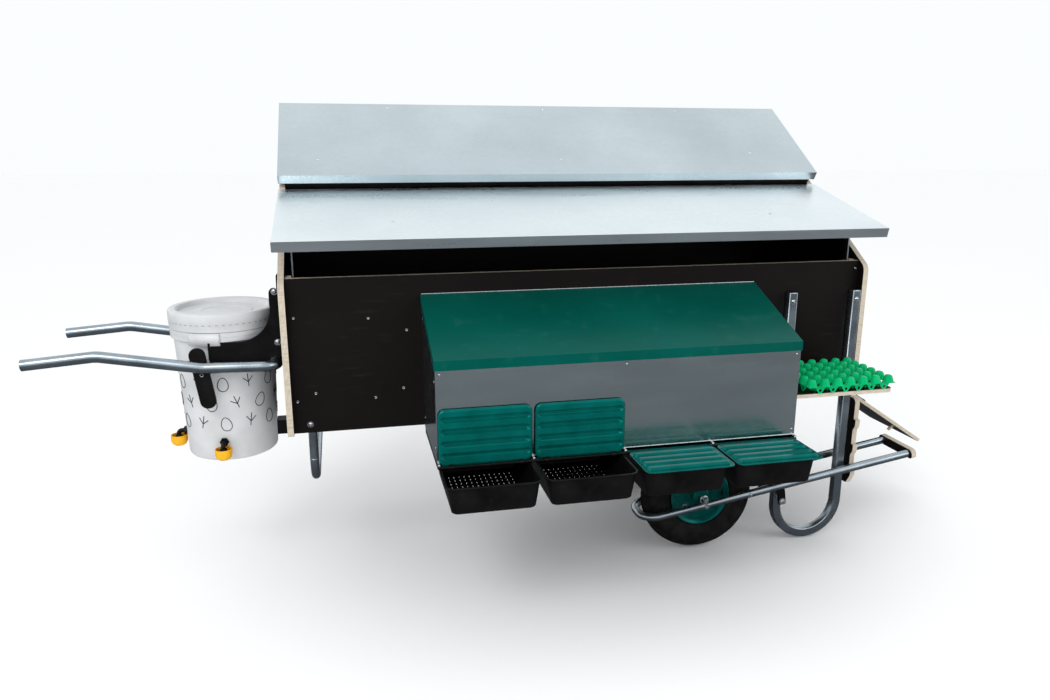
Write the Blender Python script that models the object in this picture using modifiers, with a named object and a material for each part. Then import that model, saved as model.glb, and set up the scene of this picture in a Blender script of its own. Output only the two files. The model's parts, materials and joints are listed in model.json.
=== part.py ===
"""Barrow-type mobile hen house with a four-place nest box on its front wall.

Metres, +Z up. Shapes are drawn in the house frame: X runs along the house from the inner face of the left end
wall, Y from the front edge of the end walls to the back, and Z up from the bottom of the walls. The house empty
then moves that frame to the part's own origin, at the middle of the ground under the part.
"""
import math

import bmesh
import bpy
from mathutils import Matrix, Vector

# ---- driving dimensions -------------------------------------------------------------------------------------
GAP = 0.0003                # clearance between pieces that touch
PLY = 0.018                 # film-faced plywood
INSIDE_LENGTH = 1.86        # between the end walls
DEPTH = 0.725               # end walls, front edge to back edge
RECESS = 0.030              # front and rear walls stand back from the end walls' edges
FRONT_HEIGHT = 0.470
EAVES_HEIGHT = 0.4537       # end walls, at their front edge
ROOF_SLOPE = math.radians(33.33)

SHEET = 0.0012              # galvanised sheet
ROOF_OVERHANG = 0.0205      # roof panels, past the inner faces of the end walls
ROOF_FLANGE = 0.030
UPPER_START = 0.4637        # along the roof slope
UPPER_LENGTH = 0.4332
UPPER_LIFT = 0.048          # top of the upper panel above the wall tops
LOWER_LENGTH = 0.4689
LOWER_OPENING = math.radians(18.8)
ROOF_HINGE = Vector((0.0, 0.452, -0.004))      # in the roof frame

NEST_START = 0.3915
NEST_PITCH = 0.271
NEST_PLACES = 4
NEST_FRONT = -0.285
NEST_TOP = 0.412            # lid at the wall
NEST_EAVES = 0.2855         # lid at its front edge
NEST_FLANGE = 0.026

TRAY_RIM = -0.0198
TRAY_FRONT = -0.440
TRAY_BACK = -0.120
TRAY_WIDTH = 0.262
TRAY_DEPTH = 0.079
TRAY_WALL = 0.0025
LID_LENGTH = 0.165
LID_WIDTH = 0.263
LID_HINGE = Vector((0.0, -0.2985, TRAY_RIM + 0.0040))
LID_LEAN = math.radians(91.5)

SHELF_HEIGHT = 0.106
SHELF_THICK = 0.012
EGG_COLUMNS = 6
EGG_ROWS = 5
EGG_PITCH = 0.049

LEG_TUBE = 0.030            # square tube of the right-hand leg loops
LEG_X = (1.610, 1.8445)     # centres of a loop's two uprights
LEG_TOP = 0.375
LEG_BOTTOM = -0.512
FRAME_TUBE = 0.0135         # radius of the wheel frame's tube
FRAME_HALF = 0.070          # from the wheel's mid-plane to a tube's centre
FRAME_TILT = math.radians(9.0)
WHEEL_PLANE = 0.042         # front wheel's mid-plane
PIVOT = Vector((LEG_X[0], WHEEL_PLANE, -0.3500))
FRAME_RISE = 0.0570         # tubes above the pivot, in the wheel frame's own tilted axes
FRAME_START = -0.499        # closed end of the frame, from the pivot
FRAME_BEND = 0.058
WHEEL_RADIUS = 0.200
TYRE_HALF = 0.045
AXLE_RADIUS = 0.008
AXLE = Vector((-0.282, 0.0, FRAME_RISE + FRAME_TUBE + AXLE_RADIUS + GAP))      # lies on top of the two tubes
AXLE_HALF = 0.0865
GROUND = PIVOT.z + AXLE.x * math.sin(FRAME_TILT) + AXLE.z * math.cos(FRAME_TILT) - WHEEL_RADIUS

LEFT_LEG_X = 0.052
LEFT_LEG_BOTTOM = -0.175
HANDLE_RADIUS = 0.016
HANDLE_Y = (-0.005, 0.400)
BUCKET_X = -0.1955
BUCKET_Y = 0.5 * (HANDLE_Y[0] + HANDLE_Y[1])
BUCKET_BASE = -0.083
BUCKET_BASE_RADIUS = 0.132
BUCKET_TOP_RADIUS = 0.148
COLLAR_BASE = 0.2885
COLLAR_RADIUS = 0.1555
BUCKET_TOP = 0.345
LID_TOP = 0.371
BUCKET_WALL = 0.0025

RAMP_NEAR = 0.150
RAMP_WIDTH = 0.300
RAMP_LENGTH = 0.470
RAMP_THICK = 0.012
RAMP_SLOPE = math.radians(33.4)

ORIGIN = Vector((-0.7927, -0.1558, -GROUND))


# ---- scene and helpers --------------------------------------------------------------------------------------
for old in list(bpy.data.objects):
    bpy.data.objects.remove(old, do_unlink=True)

PARTS = bpy.data.collections.new("mobile_hen_house")
CUTTERS = bpy.data.collections.new("cutters")
bpy.context.scene.collection.children.link(PARTS)
bpy.context.scene.collection.children.link(CUTTERS)


def finish(name, color, roughness, metallic=0.0):
    """A Principled material."""
    made = bpy.data.materials.new(name)
    made.use_nodes = True
    shader = made.node_tree.nodes["Principled BSDF"]
    shader.inputs["Base Color"].default_value = (*color, 1.0)
    shader.inputs["Roughness"].default_value = roughness
    shader.inputs["Metallic"].default_value = metallic
    return made


PLY_DARK = finish("film_ply", (0.028, 0.022, 0.020), 0.45)
ZINC = finish("galvanised", (0.52, 0.56, 0.58), 0.38, 0.9)
STEEL = finish("zinc_bolt", (0.68, 0.70, 0.72), 0.3, 1.0)
GREEN_SHEET = finish("green_sheet", (0.004, 0.16, 0.13), 0.4)
GREEN_PLASTIC = finish("green_plastic", (0.005, 0.24, 0.19), 0.45)
EGG_GREEN = finish("egg_tray_green", (0.01, 0.48, 0.22), 0.4)
BLACK_PLASTIC = finish("black_plastic", (0.012, 0.011, 0.012), 0.45)
BLACK_METAL = finish("black_metal", (0.012, 0.012, 0.013), 0.4, 0.3)
TYRE_RUBBER = finish("tyre_rubber", (0.018, 0.018, 0.019), 0.8)
RIM_PAINT = finish("rim_paint", (0.005, 0.20, 0.15), 0.4)
WHITE_PLASTIC = finish("white_plastic", (0.80, 0.80, 0.80), 0.4)
YELLOW_PLASTIC = finish("yellow_plastic", (0.90, 0.42, 0.01), 0.4)


def frame(name, location, parent=None, tilt=0.0, axis="X"):
    """An empty that carries the pieces drawn in its axes."""
    empty = bpy.data.objects.new(name, None)
    empty.location = location
    empty.rotation_euler = Matrix.Rotation(tilt, 4, axis).to_euler()
    empty.parent = parent
    PARTS.objects.link(empty)
    return empty


def add(name, data, material, parent):
    """Link a new object with its material, under its frame."""
    made = bpy.data.objects.new(name, data)
    data.materials.append(material)
    made.parent = parent
    PARTS.objects.link(made)
    return made


def from_bmesh(name, bm, material, parent):
    """Turn a bmesh into a named piece."""
    mesh = bpy.data.meshes.new(name)
    bm.to_mesh(mesh)
    bm.free()
    return add(name, mesh, material, parent)


def block(name, low, high, material, parent):
    """A box between two corners."""
    low, high = Vector(low), Vector(high)
    bm = bmesh.new()
    bmesh.ops.create_cube(bm, size=1.0)
    bmesh.ops.scale(bm, vec=high - low, verts=bm.verts)
    piece = from_bmesh(name, bm, material, parent)
    piece.location = (low + high) / 2
    return piece


def rod(name, start, end, radius, material, parent, sides=16):
    """A round bar from one point to another."""
    start, end = Vector(start), Vector(end)
    bm = bmesh.new()
    bmesh.ops.create_cone(bm, cap_ends=True, segments=sides, radius1=radius, radius2=radius,
                          depth=(end - start).length)
    piece = from_bmesh(name, bm, material, parent)
    piece.location = (start + end) / 2
    piece.rotation_euler = (end - start).to_track_quat("Z", "Y").to_euler()
    piece.data.shade_smooth()
    piece.data.set_sharp_from_angle(angle=math.radians(40))
    return piece


def rounded(points, radii, steps=4):
    """A closed flat outline whose corners are arcs of the given radii."""
    outline = []
    count = len(points)
    for index, corner in enumerate(points):
        here = Vector(corner)
        radius = radii[index] if isinstance(radii, (list, tuple)) else radii
        if radius <= 0.0:
            outline.append(here)
            continue
        back = (Vector(points[index - 1]) - here).normalized()
        ahead = (Vector(points[(index + 1) % count]) - here).normalized()
        half = back.angle(ahead) / 2
        reach = radius / math.tan(half)
        centre = here + (back + ahead).normalized() * (radius / math.sin(half))
        first = here + back * reach - centre
        turn = first.angle_signed(here + ahead * reach - centre)
        for step in range(steps + 1):
            outline.append(centre + Matrix.Rotation(-turn * step / steps, 2) @ first)
    return outline


def circle(centre, radius, sides=16):
    """A closed round outline."""
    angles = [2 * math.pi * side / sides for side in range(sides)]
    return [Vector((centre[0] + radius * math.cos(a), centre[1] + radius * math.sin(a))) for a in angles]


PLANES = {"XZ": (math.pi / 2, 0.0, 0.0), "YZ": (math.pi / 2, 0.0, math.pi / 2), "XY": (0.0, 0.0, 0.0)}


def plate(name, plane, outlines, centre, thickness, material, parent):
    """A flat piece cut from board or sheet: the first outline is its edge and the others are holes.

    Outlines are drawn in the plane's two axes, and centre is the middle of the thickness across it.
    """
    curve = bpy.data.curves.new(name, "CURVE")
    curve.dimensions = "2D"
    curve.fill_mode = "BOTH"
    curve.extrude = thickness / 2
    for outline in outlines:
        spline = curve.splines.new("POLY")
        spline.points.add(len(outline) - 1)
        for point, place in zip(spline.points, outline):
            point.co = (place[0], place[1], 0.0, 1.0)
        spline.use_cyclic_u = True
    piece = add(name, curve, material, parent)
    piece.rotation_euler = PLANES[plane]
    piece.location = {"XZ": (0.0, centre, 0.0), "YZ": (centre, 0.0, 0.0), "XY": (0.0, 0.0, centre)}[plane]
    return piece


def rectangle(low, high):
    """The four corners of a flat rectangle."""
    return [Vector(low), Vector((high[0], low[1])), Vector(high), Vector((low[0], high[1]))]


def bent_path(corners, radii, steps=5):
    """The centre line of a bent tube: straight runs joined by arcs at the inner corners."""
    path = [Vector(corners[0])]
    for index in range(1, len(corners) - 1):
        here = Vector(corners[index])
        back = (Vector(corners[index - 1]) - here).normalized()
        ahead = (Vector(corners[index + 1]) - here).normalized()
        half = back.angle(ahead) / 2
        radius = radii[index - 1]
        centre = here + (back + ahead).normalized() * (radius / math.sin(half))
        first = here + back * (radius / math.tan(half)) - centre
        last = here + ahead * (radius / math.tan(half)) - centre
        spin = first.cross(last).normalized()
        sweep = first.angle(last)
        for step in range(steps + 1):
            path.append(centre + Matrix.Rotation(sweep * step / steps, 3, spin) @ first)
    path.append(Vector(corners[-1]))
    return path


def tube(name, path, radius, material, parent):
    """A round tube along a path, closed at its ends."""
    curve = bpy.data.curves.new(name, "CURVE")
    curve.dimensions = "3D"
    curve.bevel_depth = radius
    curve.bevel_resolution = 2
    curve.use_fill_caps = True
    spline = curve.splines.new("POLY")
    spline.points.add(len(path) - 1)
    for point, place in zip(spline.points, path):
        point.co = (*place, 1.0)
    return add(name, curve, material, parent)


def turned(name, profile, material, parent, location, tilt=(0.0, 0.0, 0.0), steps=32, closed=False):
    """A turned piece: a profile of (radius, height) that runs down its outer side."""
    bm = bmesh.new()
    points = [bm.verts.new((radius, 0.0, height)) for radius, height in profile]
    for start, end in zip(points, points[1:] + points[:1] if closed else points[1:]):
        if max(start.co.x, end.co.x) > 0.0:
            bm.edges.new((start, end))
    piece = from_bmesh(name, bm, material, parent)
    screw = piece.modifiers.new("screw", "SCREW")
    screw.steps = steps
    screw.render_steps = steps
    screw.use_merge_vertices = True
    screw.merge_threshold = 0.0001
    piece.location = location
    piece.rotation_euler = tilt
    return piece


def open_box(name, low, high, drop, thickness, material, parent):
    """A folded sheet: a box without the faces whose normals are in drop, given thickness inwards."""
    low, high = Vector(low), Vector(high)
    bm = bmesh.new()
    bmesh.ops.create_cube(bm, size=1.0)
    bmesh.ops.scale(bm, vec=high - low, verts=bm.verts)
    gone = [face for face in bm.faces if any(face.normal.dot(Vector(way)) > 0.9 for way in drop)]
    bmesh.ops.delete(bm, geom=gone, context="FACES")
    piece = from_bmesh(name, bm, material, parent)
    piece.location = (low + high) / 2
    skin = piece.modifiers.new("skin", "SOLIDIFY")
    skin.thickness = thickness
    skin.offset = -1.0
    skin.use_even_offset = True
    return piece


def as_mesh(outline, name, material, parent):
    """Make a curve piece a mesh with its caps welded on, and remove the curve."""
    bpy.context.view_layer.update()
    evaluated = outline.evaluated_get(bpy.context.evaluated_depsgraph_get())
    mesh = bpy.data.meshes.new_from_object(evaluated)
    bm = bmesh.new()
    bm.from_mesh(mesh)
    bmesh.ops.remove_doubles(bm, verts=bm.verts, dist=0.00001)
    bm.to_mesh(mesh)
    bm.free()
    mesh.materials.clear()
    piece = add(name, mesh, material, parent)
    piece.location = outline.location
    piece.rotation_euler = outline.rotation_euler
    bpy.data.objects.remove(outline, do_unlink=True)
    return piece


def cut(piece, name, bm):
    """Cut a bmesh drawn in the house frame out of a piece."""
    mesh = bpy.data.meshes.new(name)
    bm.to_mesh(mesh)
    bm.free()
    cutter = bpy.data.objects.new(name, mesh)
    cutter.parent = HOUSE
    cutter.hide_render = True
    cutter.display_type = "WIRE"
    CUTTERS.objects.link(cutter)
    away = piece.modifiers.new(name, "BOOLEAN")
    away.operation = "DIFFERENCE"
    away.solver = "EXACT"
    away.object = cutter


HOUSE = frame("house_frame", ORIGIN)
ROOF = frame("roof_frame", (0.0, 0.0, EAVES_HEIGHT), HOUSE, ROOF_SLOPE)


# ---- house --------------------------------------------------------------------------------------------------
def wall_top(depth, lift=0.0):
    """Height of the end walls' sloping top, or of a line lifted square to it, at a depth."""
    return EAVES_HEIGHT + depth * math.tan(ROOF_SLOPE) + lift / math.cos(ROOF_SLOPE)


def nest_centre(place):
    """X at the middle of a nest place."""
    return NEST_START + NEST_PITCH * (place + 0.5)


def walls():
    """Front wall with its nest openings, rear wall, end walls, pop-hole and floor."""
    low, high = GAP, INSIDE_LENGTH - GAP
    openings = []
    for place in range(NEST_PLACES):
        middle = nest_centre(place)
        hole = rectangle((middle - 0.095, 0.075), (middle + 0.095, 0.325))
        openings.append(rounded(hole, 0.03, 3))
    plate("front_wall", "XZ", [rectangle((low, 0.0), (high, FRONT_HEIGHT))] + openings,
          RECESS + PLY / 2, PLY, PLY_DARK, HOUSE)
    rear_top = wall_top(DEPTH - RECESS - PLY, UPPER_LIFT - SHEET) - 0.002
    plate("rear_wall", "XZ", [rectangle((low, 0.0), (high, rear_top))],
          DEPTH - RECESS - PLY / 2, PLY, PLY_DARK, HOUSE)
    side = [(0.0, 0.0), (DEPTH, 0.0), (DEPTH, wall_top(DEPTH)), (0.0, EAVES_HEIGHT)]
    edge = rounded(side, [0.006, 0.006, 0.02, 0.03])
    plate("left_end_wall", "YZ", [edge], -PLY / 2, PLY, PLY_DARK, HOUSE)
    pop_hole = rounded(rectangle((RAMP_NEAR + 0.025, 0.030), (RAMP_NEAR + RAMP_WIDTH - 0.025, 0.400)), 0.03, 3)
    plate("right_end_wall", "YZ", [edge, pop_hole], INSIDE_LENGTH + PLY / 2, PLY, PLY_DARK, HOUSE)
    front, back = RECESS + PLY + GAP, DEPTH - RECESS - PLY - GAP
    notch = FRAME_TUBE + GAP
    left, right, deep = LEFT_LEG_X - notch, LEFT_LEG_X + notch, 2 * notch
    board = [(low, front), (left, front), (left, front + deep), (right, front + deep), (right, front),
             (high, front), (high, back), (right, back), (right, back - deep), (left, back - deep),
             (left, back), (low, back)]
    plate("floor_board", "XY", [board], PLY / 2, PLY, PLY_DARK, HOUSE)


def roof():
    """Fixed upper panel and purlin, and the lower panel that lifts on its hinge rod, with its two props."""
    left, right = -ROOF_OVERHANG, INSIDE_LENGTH + ROOF_OVERHANG
    purlin = UPPER_START + SHEET + GAP
    block("purlin_front", (GAP, purlin, -0.022), (INSIDE_LENGTH - GAP, purlin + 0.030, UPPER_LIFT - SHEET - GAP),
          PLY_DARK, ROOF)
    open_box("roof_rear_panel", (left, UPPER_START, UPPER_LIFT - ROOF_FLANGE),
             (right, UPPER_START + UPPER_LENGTH, UPPER_LIFT), [(0, 0, -1)], SHEET, ZINC, ROOF)
    rod("roof_hinge_rod", (GAP, *ROOF_HINGE[1:]), (INSIDE_LENGTH - GAP, *ROOF_HINGE[1:]), 0.004, STEEL, ROOF, 12)

    lifted = frame("roof_front_hinge", ROOF_HINGE, ROOF, -LOWER_OPENING)
    top, back = 0.0083, 0.0044
    open_box("roof_front_panel", (left, -LOWER_LENGTH - back, top - ROOF_FLANGE), (right, -back, top),
             [(0, 0, -1), (0, 1, 0)], SHEET, ZINC, lifted)
    half = INSIDE_LENGTH / 2
    ring = [(0.0064, half - 0.05), (0.0064, 0.05 - half), (0.0043, 0.05 - half), (0.0043, half - 0.05)]
    turned("roof_hinge_barrel", ring, ZINC, lifted, (half, 0.0, 0.0), (0.0, math.pi / 2, 0.0), 16, True)
    for side, place in (("left", 0.024), ("right", INSIDE_LENGTH - 0.024)):
        hang = frame("prop_hinge_" + side, (place, -0.320, -0.006), lifted, LOWER_OPENING - ROOF_SLOPE)
        outline = [(-0.010, -0.168), (0.010, -0.168), (0.010, 0.008), (-0.010, 0.008)]
        plate("prop_" + side, "YZ", [rounded(outline, 0.0075, 3)], 0.0, 0.004, ZINC, hang)


# ---- nest box -----------------------------------------------------------------------------------------------
def nest_box():
    """Galvanised shell, floor with partitions, and the green lid on its hinge line at the wall."""
    right = NEST_START + NEST_PITCH * NEST_PLACES
    back = RECESS - GAP
    slope = math.atan2(NEST_TOP - NEST_EAVES, back - NEST_FRONT)
    bottom = -0.005
    shell = open_box("nest_shell", (NEST_START, NEST_FRONT, bottom), (right, back, NEST_EAVES - 0.004),
                     [(0, 0, 1), (0, 0, -1), (0, 1, 0)], SHEET, ZINC, HOUSE)
    for corner in shell.data.vertices:
        if corner.co.y > 0 and corner.co.z > 0:
            corner.co.z += (back - NEST_FRONT) * math.tan(slope)

    walls, ends, feet = 0.006, 0.002, 0.0065
    comb_top, floor_top = 0.190, 0.040
    foot_high = TRAY_RIM - TRAY_WALL - GAP
    foot_low = foot_high - 0.002
    spans = []
    for place in range(NEST_PLACES + 1):
        middle = NEST_START + NEST_PITCH * place
        low, high = middle - walls / 2, middle + walls / 2
        if place == 0:
            low = middle + SHEET + GAP
            high = low + ends
        if place == NEST_PLACES:
            high = middle - SHEET - GAP
            low = high - ends
        spans.append((low, high))
    upper, lower = [], []
    for place, (low, high) in enumerate(spans):
        if place > 0:
            upper += [(low, floor_top)]
            lower += [(low, floor_top - walls), (low, foot_high), (low - feet, foot_high), (low - feet, foot_low)]
        else:
            lower += [(low, foot_low)]
        upper += [(low, comb_top), (high, comb_top)]
        if place < NEST_PLACES:
            upper += [(high, floor_top)]
            lower += [(high + feet, foot_low), (high + feet, foot_high), (high, foot_high),
                      (high, floor_top - walls)]
        else:
            lower += [(high, foot_low)]
    front = NEST_FRONT + SHEET + GAP
    depth = back - GAP - front
    comb = plate("nest_floor_outline", "XZ", [upper + lower[::-1]], front + depth / 2, depth, BLACK_PLASTIC,
                 HOUSE)
    comb = as_mesh(comb, "nest_floor", BLACK_PLASTIC, HOUSE)
    bm = bmesh.new()
    for place in range(NEST_PLACES):
        middle = Vector((nest_centre(place), front + 0.045, floor_top - walls / 2))
        slot = bmesh.ops.create_cube(bm, size=1.0)["verts"]
        bmesh.ops.scale(bm, vec=(NEST_PITCH - 0.040, 0.060, 4 * walls), verts=slot)
        bmesh.ops.translate(bm, vec=middle, verts=slot)
    cut(comb, "egg_slots", bm)

    lid_hinge = frame("nest_lid_hinge", (0.0, back - 0.002, NEST_TOP), HOUSE, slope)
    length = (back - 0.002 - NEST_FRONT + 0.003) / math.cos(slope)
    lid = open_box("nest_lid", (NEST_START - 0.003, -length, -NEST_FLANGE), (right + 0.003, 0.0, 0.0),
                   [(0, 0, -1), (0, 1, 0)], SHEET, GREEN_SHEET, lid_hinge)
    for corner in lid.data.vertices:
        if corner.co.z < 0:
            corner.co.y -= NEST_FLANGE * math.tan(slope)


def tray(number, middle):
    """A tapered egg tray with a lip round its rim, open at the top."""
    bm = bmesh.new()
    bmesh.ops.create_cube(bm, size=1.0)
    top = [face for face in bm.faces if face.normal.z > 0.9]
    bmesh.ops.delete(bm, geom=top, context="FACES")
    length = TRAY_BACK - TRAY_FRONT
    lip, taper = 0.006, 0.010
    for corner in bm.verts:
        inset = lip + (taper if corner.co.z < 0 else 0.0)
        corner.co.x *= TRAY_WIDTH - 2 * inset
        corner.co.y *= length - 2 * inset
        corner.co.z *= TRAY_DEPTH
    upright = [edge for edge in bm.edges if abs(edge.verts[0].co.z - edge.verts[1].co.z) > 0.5 * TRAY_DEPTH]
    bmesh.ops.bevel(bm, geom=upright, offset=0.028, segments=3, affect="EDGES", profile=0.5)
    rim = [edge for edge in bm.edges if edge.is_boundary]
    out = bmesh.ops.extrude_edge_only(bm, edges=rim)
    spread = [item for item in out["geom"] if isinstance(item, bmesh.types.BMVert)]
    across, along = TRAY_WIDTH / (TRAY_WIDTH - 2 * lip), length / (length - 2 * lip)
    bmesh.ops.scale(bm, vec=(across, along, 1.0), verts=spread)
    bmesh.ops.recalc_face_normals(bm, faces=bm.faces)
    piece = from_bmesh(f"tray_{number}", bm, BLACK_PLASTIC, HOUSE)
    piece.location = (middle, (TRAY_FRONT + TRAY_BACK) / 2, TRAY_RIM - TRAY_WALL - TRAY_DEPTH / 2)
    skin = piece.modifiers.new("skin", "SOLIDIFY")
    skin.thickness = TRAY_WALL
    skin.offset = 1.0


def tray_lid(number, middle, opened):
    """A corrugated lid, hinged at its back edge on the rod under the nest box."""
    hinge = frame(f"tray_lid_hinge_{number}", (middle, *LID_HINGE[1:]), HOUSE, -LID_LEAN if opened else 0.0)
    base = -0.0040 + GAP
    ribs, low, high = 5, base + 0.0050, base + 0.0085
    rib_pitch = (LID_LENGTH - 0.018) / ribs
    outline = [(-LID_LENGTH, base), (-0.007, base), (-0.007, low)]
    for rib in range(ribs):
        back = -0.009 - rib * rib_pitch
        outline += [(back - 0.006, low), (back - 0.010, high), (back - 0.022, high), (back - 0.026, low)]
    outline += [(-LID_LENGTH, low)]
    plate(f"tray_lid_{number}", "YZ", [[Vector(point) for point in outline]], 0.0, LID_WIDTH, GREEN_PLASTIC, hinge)


def egg_trays():
    """Four trays with their lids: the first two lids stand open, the others are closed."""
    for place in range(NEST_PLACES):
        tray(place + 1, nest_centre(place))
        tray_lid(place + 1, nest_centre(place), place < 2)
    right = NEST_START + NEST_PITCH * NEST_PLACES
    rod("tray_hinge_rod", (NEST_START, *LID_HINGE[1:]), (right, *LID_HINGE[1:]), 0.0035, STEEL, HOUSE, 12)


# ---- right end ----------------------------------------------------------------------------------------------
def shelf():
    """Ply shelf between the nest box and the leg loop, with the green egg tray on it."""
    left = NEST_START + NEST_PITCH * NEST_PLACES + GAP
    back, slot = RECESS - GAP, LEG_TUBE / 2 + 2 * GAP
    corners = [(left, -0.283), (1.806, -0.283), (1.806, back), (LEG_X[0] + slot, back),
               (LEG_X[0] + slot, -3 * GAP), (LEG_X[0] - slot, -3 * GAP), (LEG_X[0] - slot, back), (left, back)]
    plate("shelf", "XY", [rounded(corners, [0.0, 0.02] + 6 * [0.0])], SHELF_HEIGHT + SHELF_THICK / 2,
          SHELF_THICK, PLY_DARK, HOUSE)

    bm = bmesh.new()
    per_cell = 4
    bmesh.ops.create_grid(bm, x_segments=EGG_COLUMNS * per_cell, y_segments=EGG_ROWS * per_cell, size=0.5)
    width, depth, height = EGG_COLUMNS * EGG_PITCH, EGG_ROWS * EGG_PITCH, 0.040
    for point in bm.verts:
        point.co.x *= width
        point.co.y *= depth
        posts = math.cos(2 * math.pi * (point.co.x + width / 2) / EGG_PITCH)
        rows = math.cos(2 * math.pi * (point.co.y + depth / 2) / EGG_PITCH)
        point.co.z = height * (0.5 + 0.25 * (posts + rows))
    piece = from_bmesh("egg_tray", bm, EGG_GREEN, HOUSE)
    piece.location = (1.660, -0.165, SHELF_HEIGHT + SHELF_THICK + GAP)
    skin = piece.modifiers.new("skin", "SOLIDIFY")
    skin.thickness = 0.002
    skin.offset = 1.0


def leg_loop(name, side_y):
    """A loop of square tube, bolted flat to the wall, with the pivot hole of the wheel frame."""
    left, right = LEG_X
    half, radius = LEG_TUBE / 2, (right - left) / 2
    corner = LEG_BOTTOM + half + radius
    steps = 12
    outline = [Vector((left - half, LEG_TOP)), Vector((left + half, LEG_TOP))]
    for reach, order in ((radius - half, range(steps + 1)), (radius + half, reversed(range(steps + 1)))):
        for step in order:
            angle = math.pi + math.pi * step / steps
            outline.append(Vector(((left + right) / 2 + reach * math.cos(angle),
                                   corner + reach * math.sin(angle))))
        if reach < radius:
            outline += [Vector((right - half, LEG_TOP)), Vector((right + half, LEG_TOP))]
    hole = circle((PIVOT.x, PIVOT.z), 0.0054, 12)
    plate(name, "XZ", [outline, hole], side_y, LEG_TUBE, ZINC, HOUSE)


def rack(name, inner, outward):
    """Ply rack beside a leg loop: its two edges have ledges that carry the wheel frame's tubes."""
    ledges, pitch, tip, root = 3, 0.0915, 0.0558, 0.0450
    lowest, shoulder = -0.2644, -0.0080
    front = [(-0.035, -0.322)]
    back = [(tip, -0.322)]
    for ledge in range(ledges):
        level = lowest + pitch * ledge
        if ledge:
            front.append((-root, level - pitch))
            back.append((root, level - pitch))
        front.append((-tip, level - 0.010))
        front.append((-tip, level))
        back.append((tip, level - 0.010))
        back.append((tip, level))
    front += [(-root, lowest + pitch * (ledges - 1)), (-root, shoulder), (-0.010, shoulder), (-0.010, 0.090)]
    back += [(root, lowest + pitch * (ledges - 1)), (root, 0.090)]
    outline = [Vector((outward * y, z)) for y, z in front + back[::-1]]
    outline = [Vector((inner + point.x, point.y)) for point in outline]
    plate(name, "YZ", [outline], INSIDE_LENGTH + PLY + GAP + PLY / 2, PLY, PLY_DARK, HOUSE)


def wheel_unit(side, plane_y, outward, end):
    """Wheel frame up to its open end, foot bar, pivot, axle, rim and tyre; outward is the sign of the outside."""
    pivot = frame("wheel_frame_pivot_" + side, (PIVOT.x, plane_y, PIVOT.z), HOUSE, -FRAME_TILT, "Y")
    corners = [(end, -FRAME_HALF, FRAME_RISE), (FRAME_START, -FRAME_HALF, FRAME_RISE),
               (FRAME_START, FRAME_HALF, FRAME_RISE), (end, FRAME_HALF, FRAME_RISE)]
    tube("wheel_frame_" + side, bent_path(corners, [FRAME_BEND, FRAME_BEND], 6), FRAME_TUBE, ZINC, pivot)
    bar = rectangle((-0.092, FRAME_RISE - 0.0175), (0.092, FRAME_RISE + 0.0175))
    plate("foot_bar_" + side, "YZ", [rounded(bar, 0.016)], end + GAP + 0.009, 0.018, PLY_DARK, pivot)

    clip = rectangle((-0.013, -0.013), (0.013, FRAME_RISE - FRAME_TUBE - GAP))
    for label, way in (("outer", -outward), ("inner", outward)):
        plate(f"frame_bracket_{side}_{label}", "XZ",
              [rounded(clip, [0.006, 0.006, 0.0, 0.0]), circle((0.0, 0.0), 0.0054, 12)],
              way * FRAME_HALF, 0.012, BLACK_METAL, pivot)
    reach = FRAME_HALF + 0.012
    rod("pivot_bolt_" + side, (0.0, -reach, 0.0), (0.0, reach, 0.0), 0.005, STEEL, pivot, 12)

    rod("axle_" + side, (AXLE.x, -AXLE_HALF, AXLE.z), (AXLE.x, AXLE_HALF, AXLE.z), AXLE_RADIUS, STEEL, pivot, 24)
    hub = frame("wheel_hub_" + side, AXLE, pivot)
    across = (-math.pi / 2, 0.0, 0.0)
    bore = AXLE_RADIUS + 0.0004
    rim = [(0.030, 0.050), (0.030, 0.012), (0.085, 0.020), (0.098, 0.036), (0.106, 0.036), (0.106, 0.030),
           (0.098, 0.020), (0.098, -0.020), (0.106, -0.030), (0.106, -0.036), (0.098, -0.036), (0.085, -0.020),
           (0.030, -0.012), (0.030, -0.050), (bore, -0.050), (bore, 0.050)]
    turned("wheel_rim_" + side, rim, RIM_PAINT, hub, (0.0, 0.0, 0.0), across, 24, True)
    tread = [(0.1065, 0.0285), (0.120, 0.040), (0.150, TYRE_HALF), (0.180, 0.040), (0.194, 0.026),
             (WHEEL_RADIUS, 0.0), (0.194, -0.026), (0.180, -0.040), (0.150, -TYRE_HALF), (0.120, -0.040),
             (0.1065, -0.0285), (0.0985, -0.0195), (0.0985, 0.0195)]
    turned("tyre_" + side, tread, TYRE_RUBBER, hub, (0.0, 0.0, 0.0), across, 32, True)


def ramp():
    """Ply ramp door, hinged under the pop-hole and let down."""
    hinge = frame("ramp_hinge", (INSIDE_LENGTH + PLY + 0.010, 0.0, 0.012), HOUSE, RAMP_SLOPE, "Y")
    block("ramp_door", (0.010, RAMP_NEAR, -RAMP_THICK / 2), (RAMP_LENGTH, RAMP_NEAR + RAMP_WIDTH, RAMP_THICK / 2),
          PLY_DARK, hinge)


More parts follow.
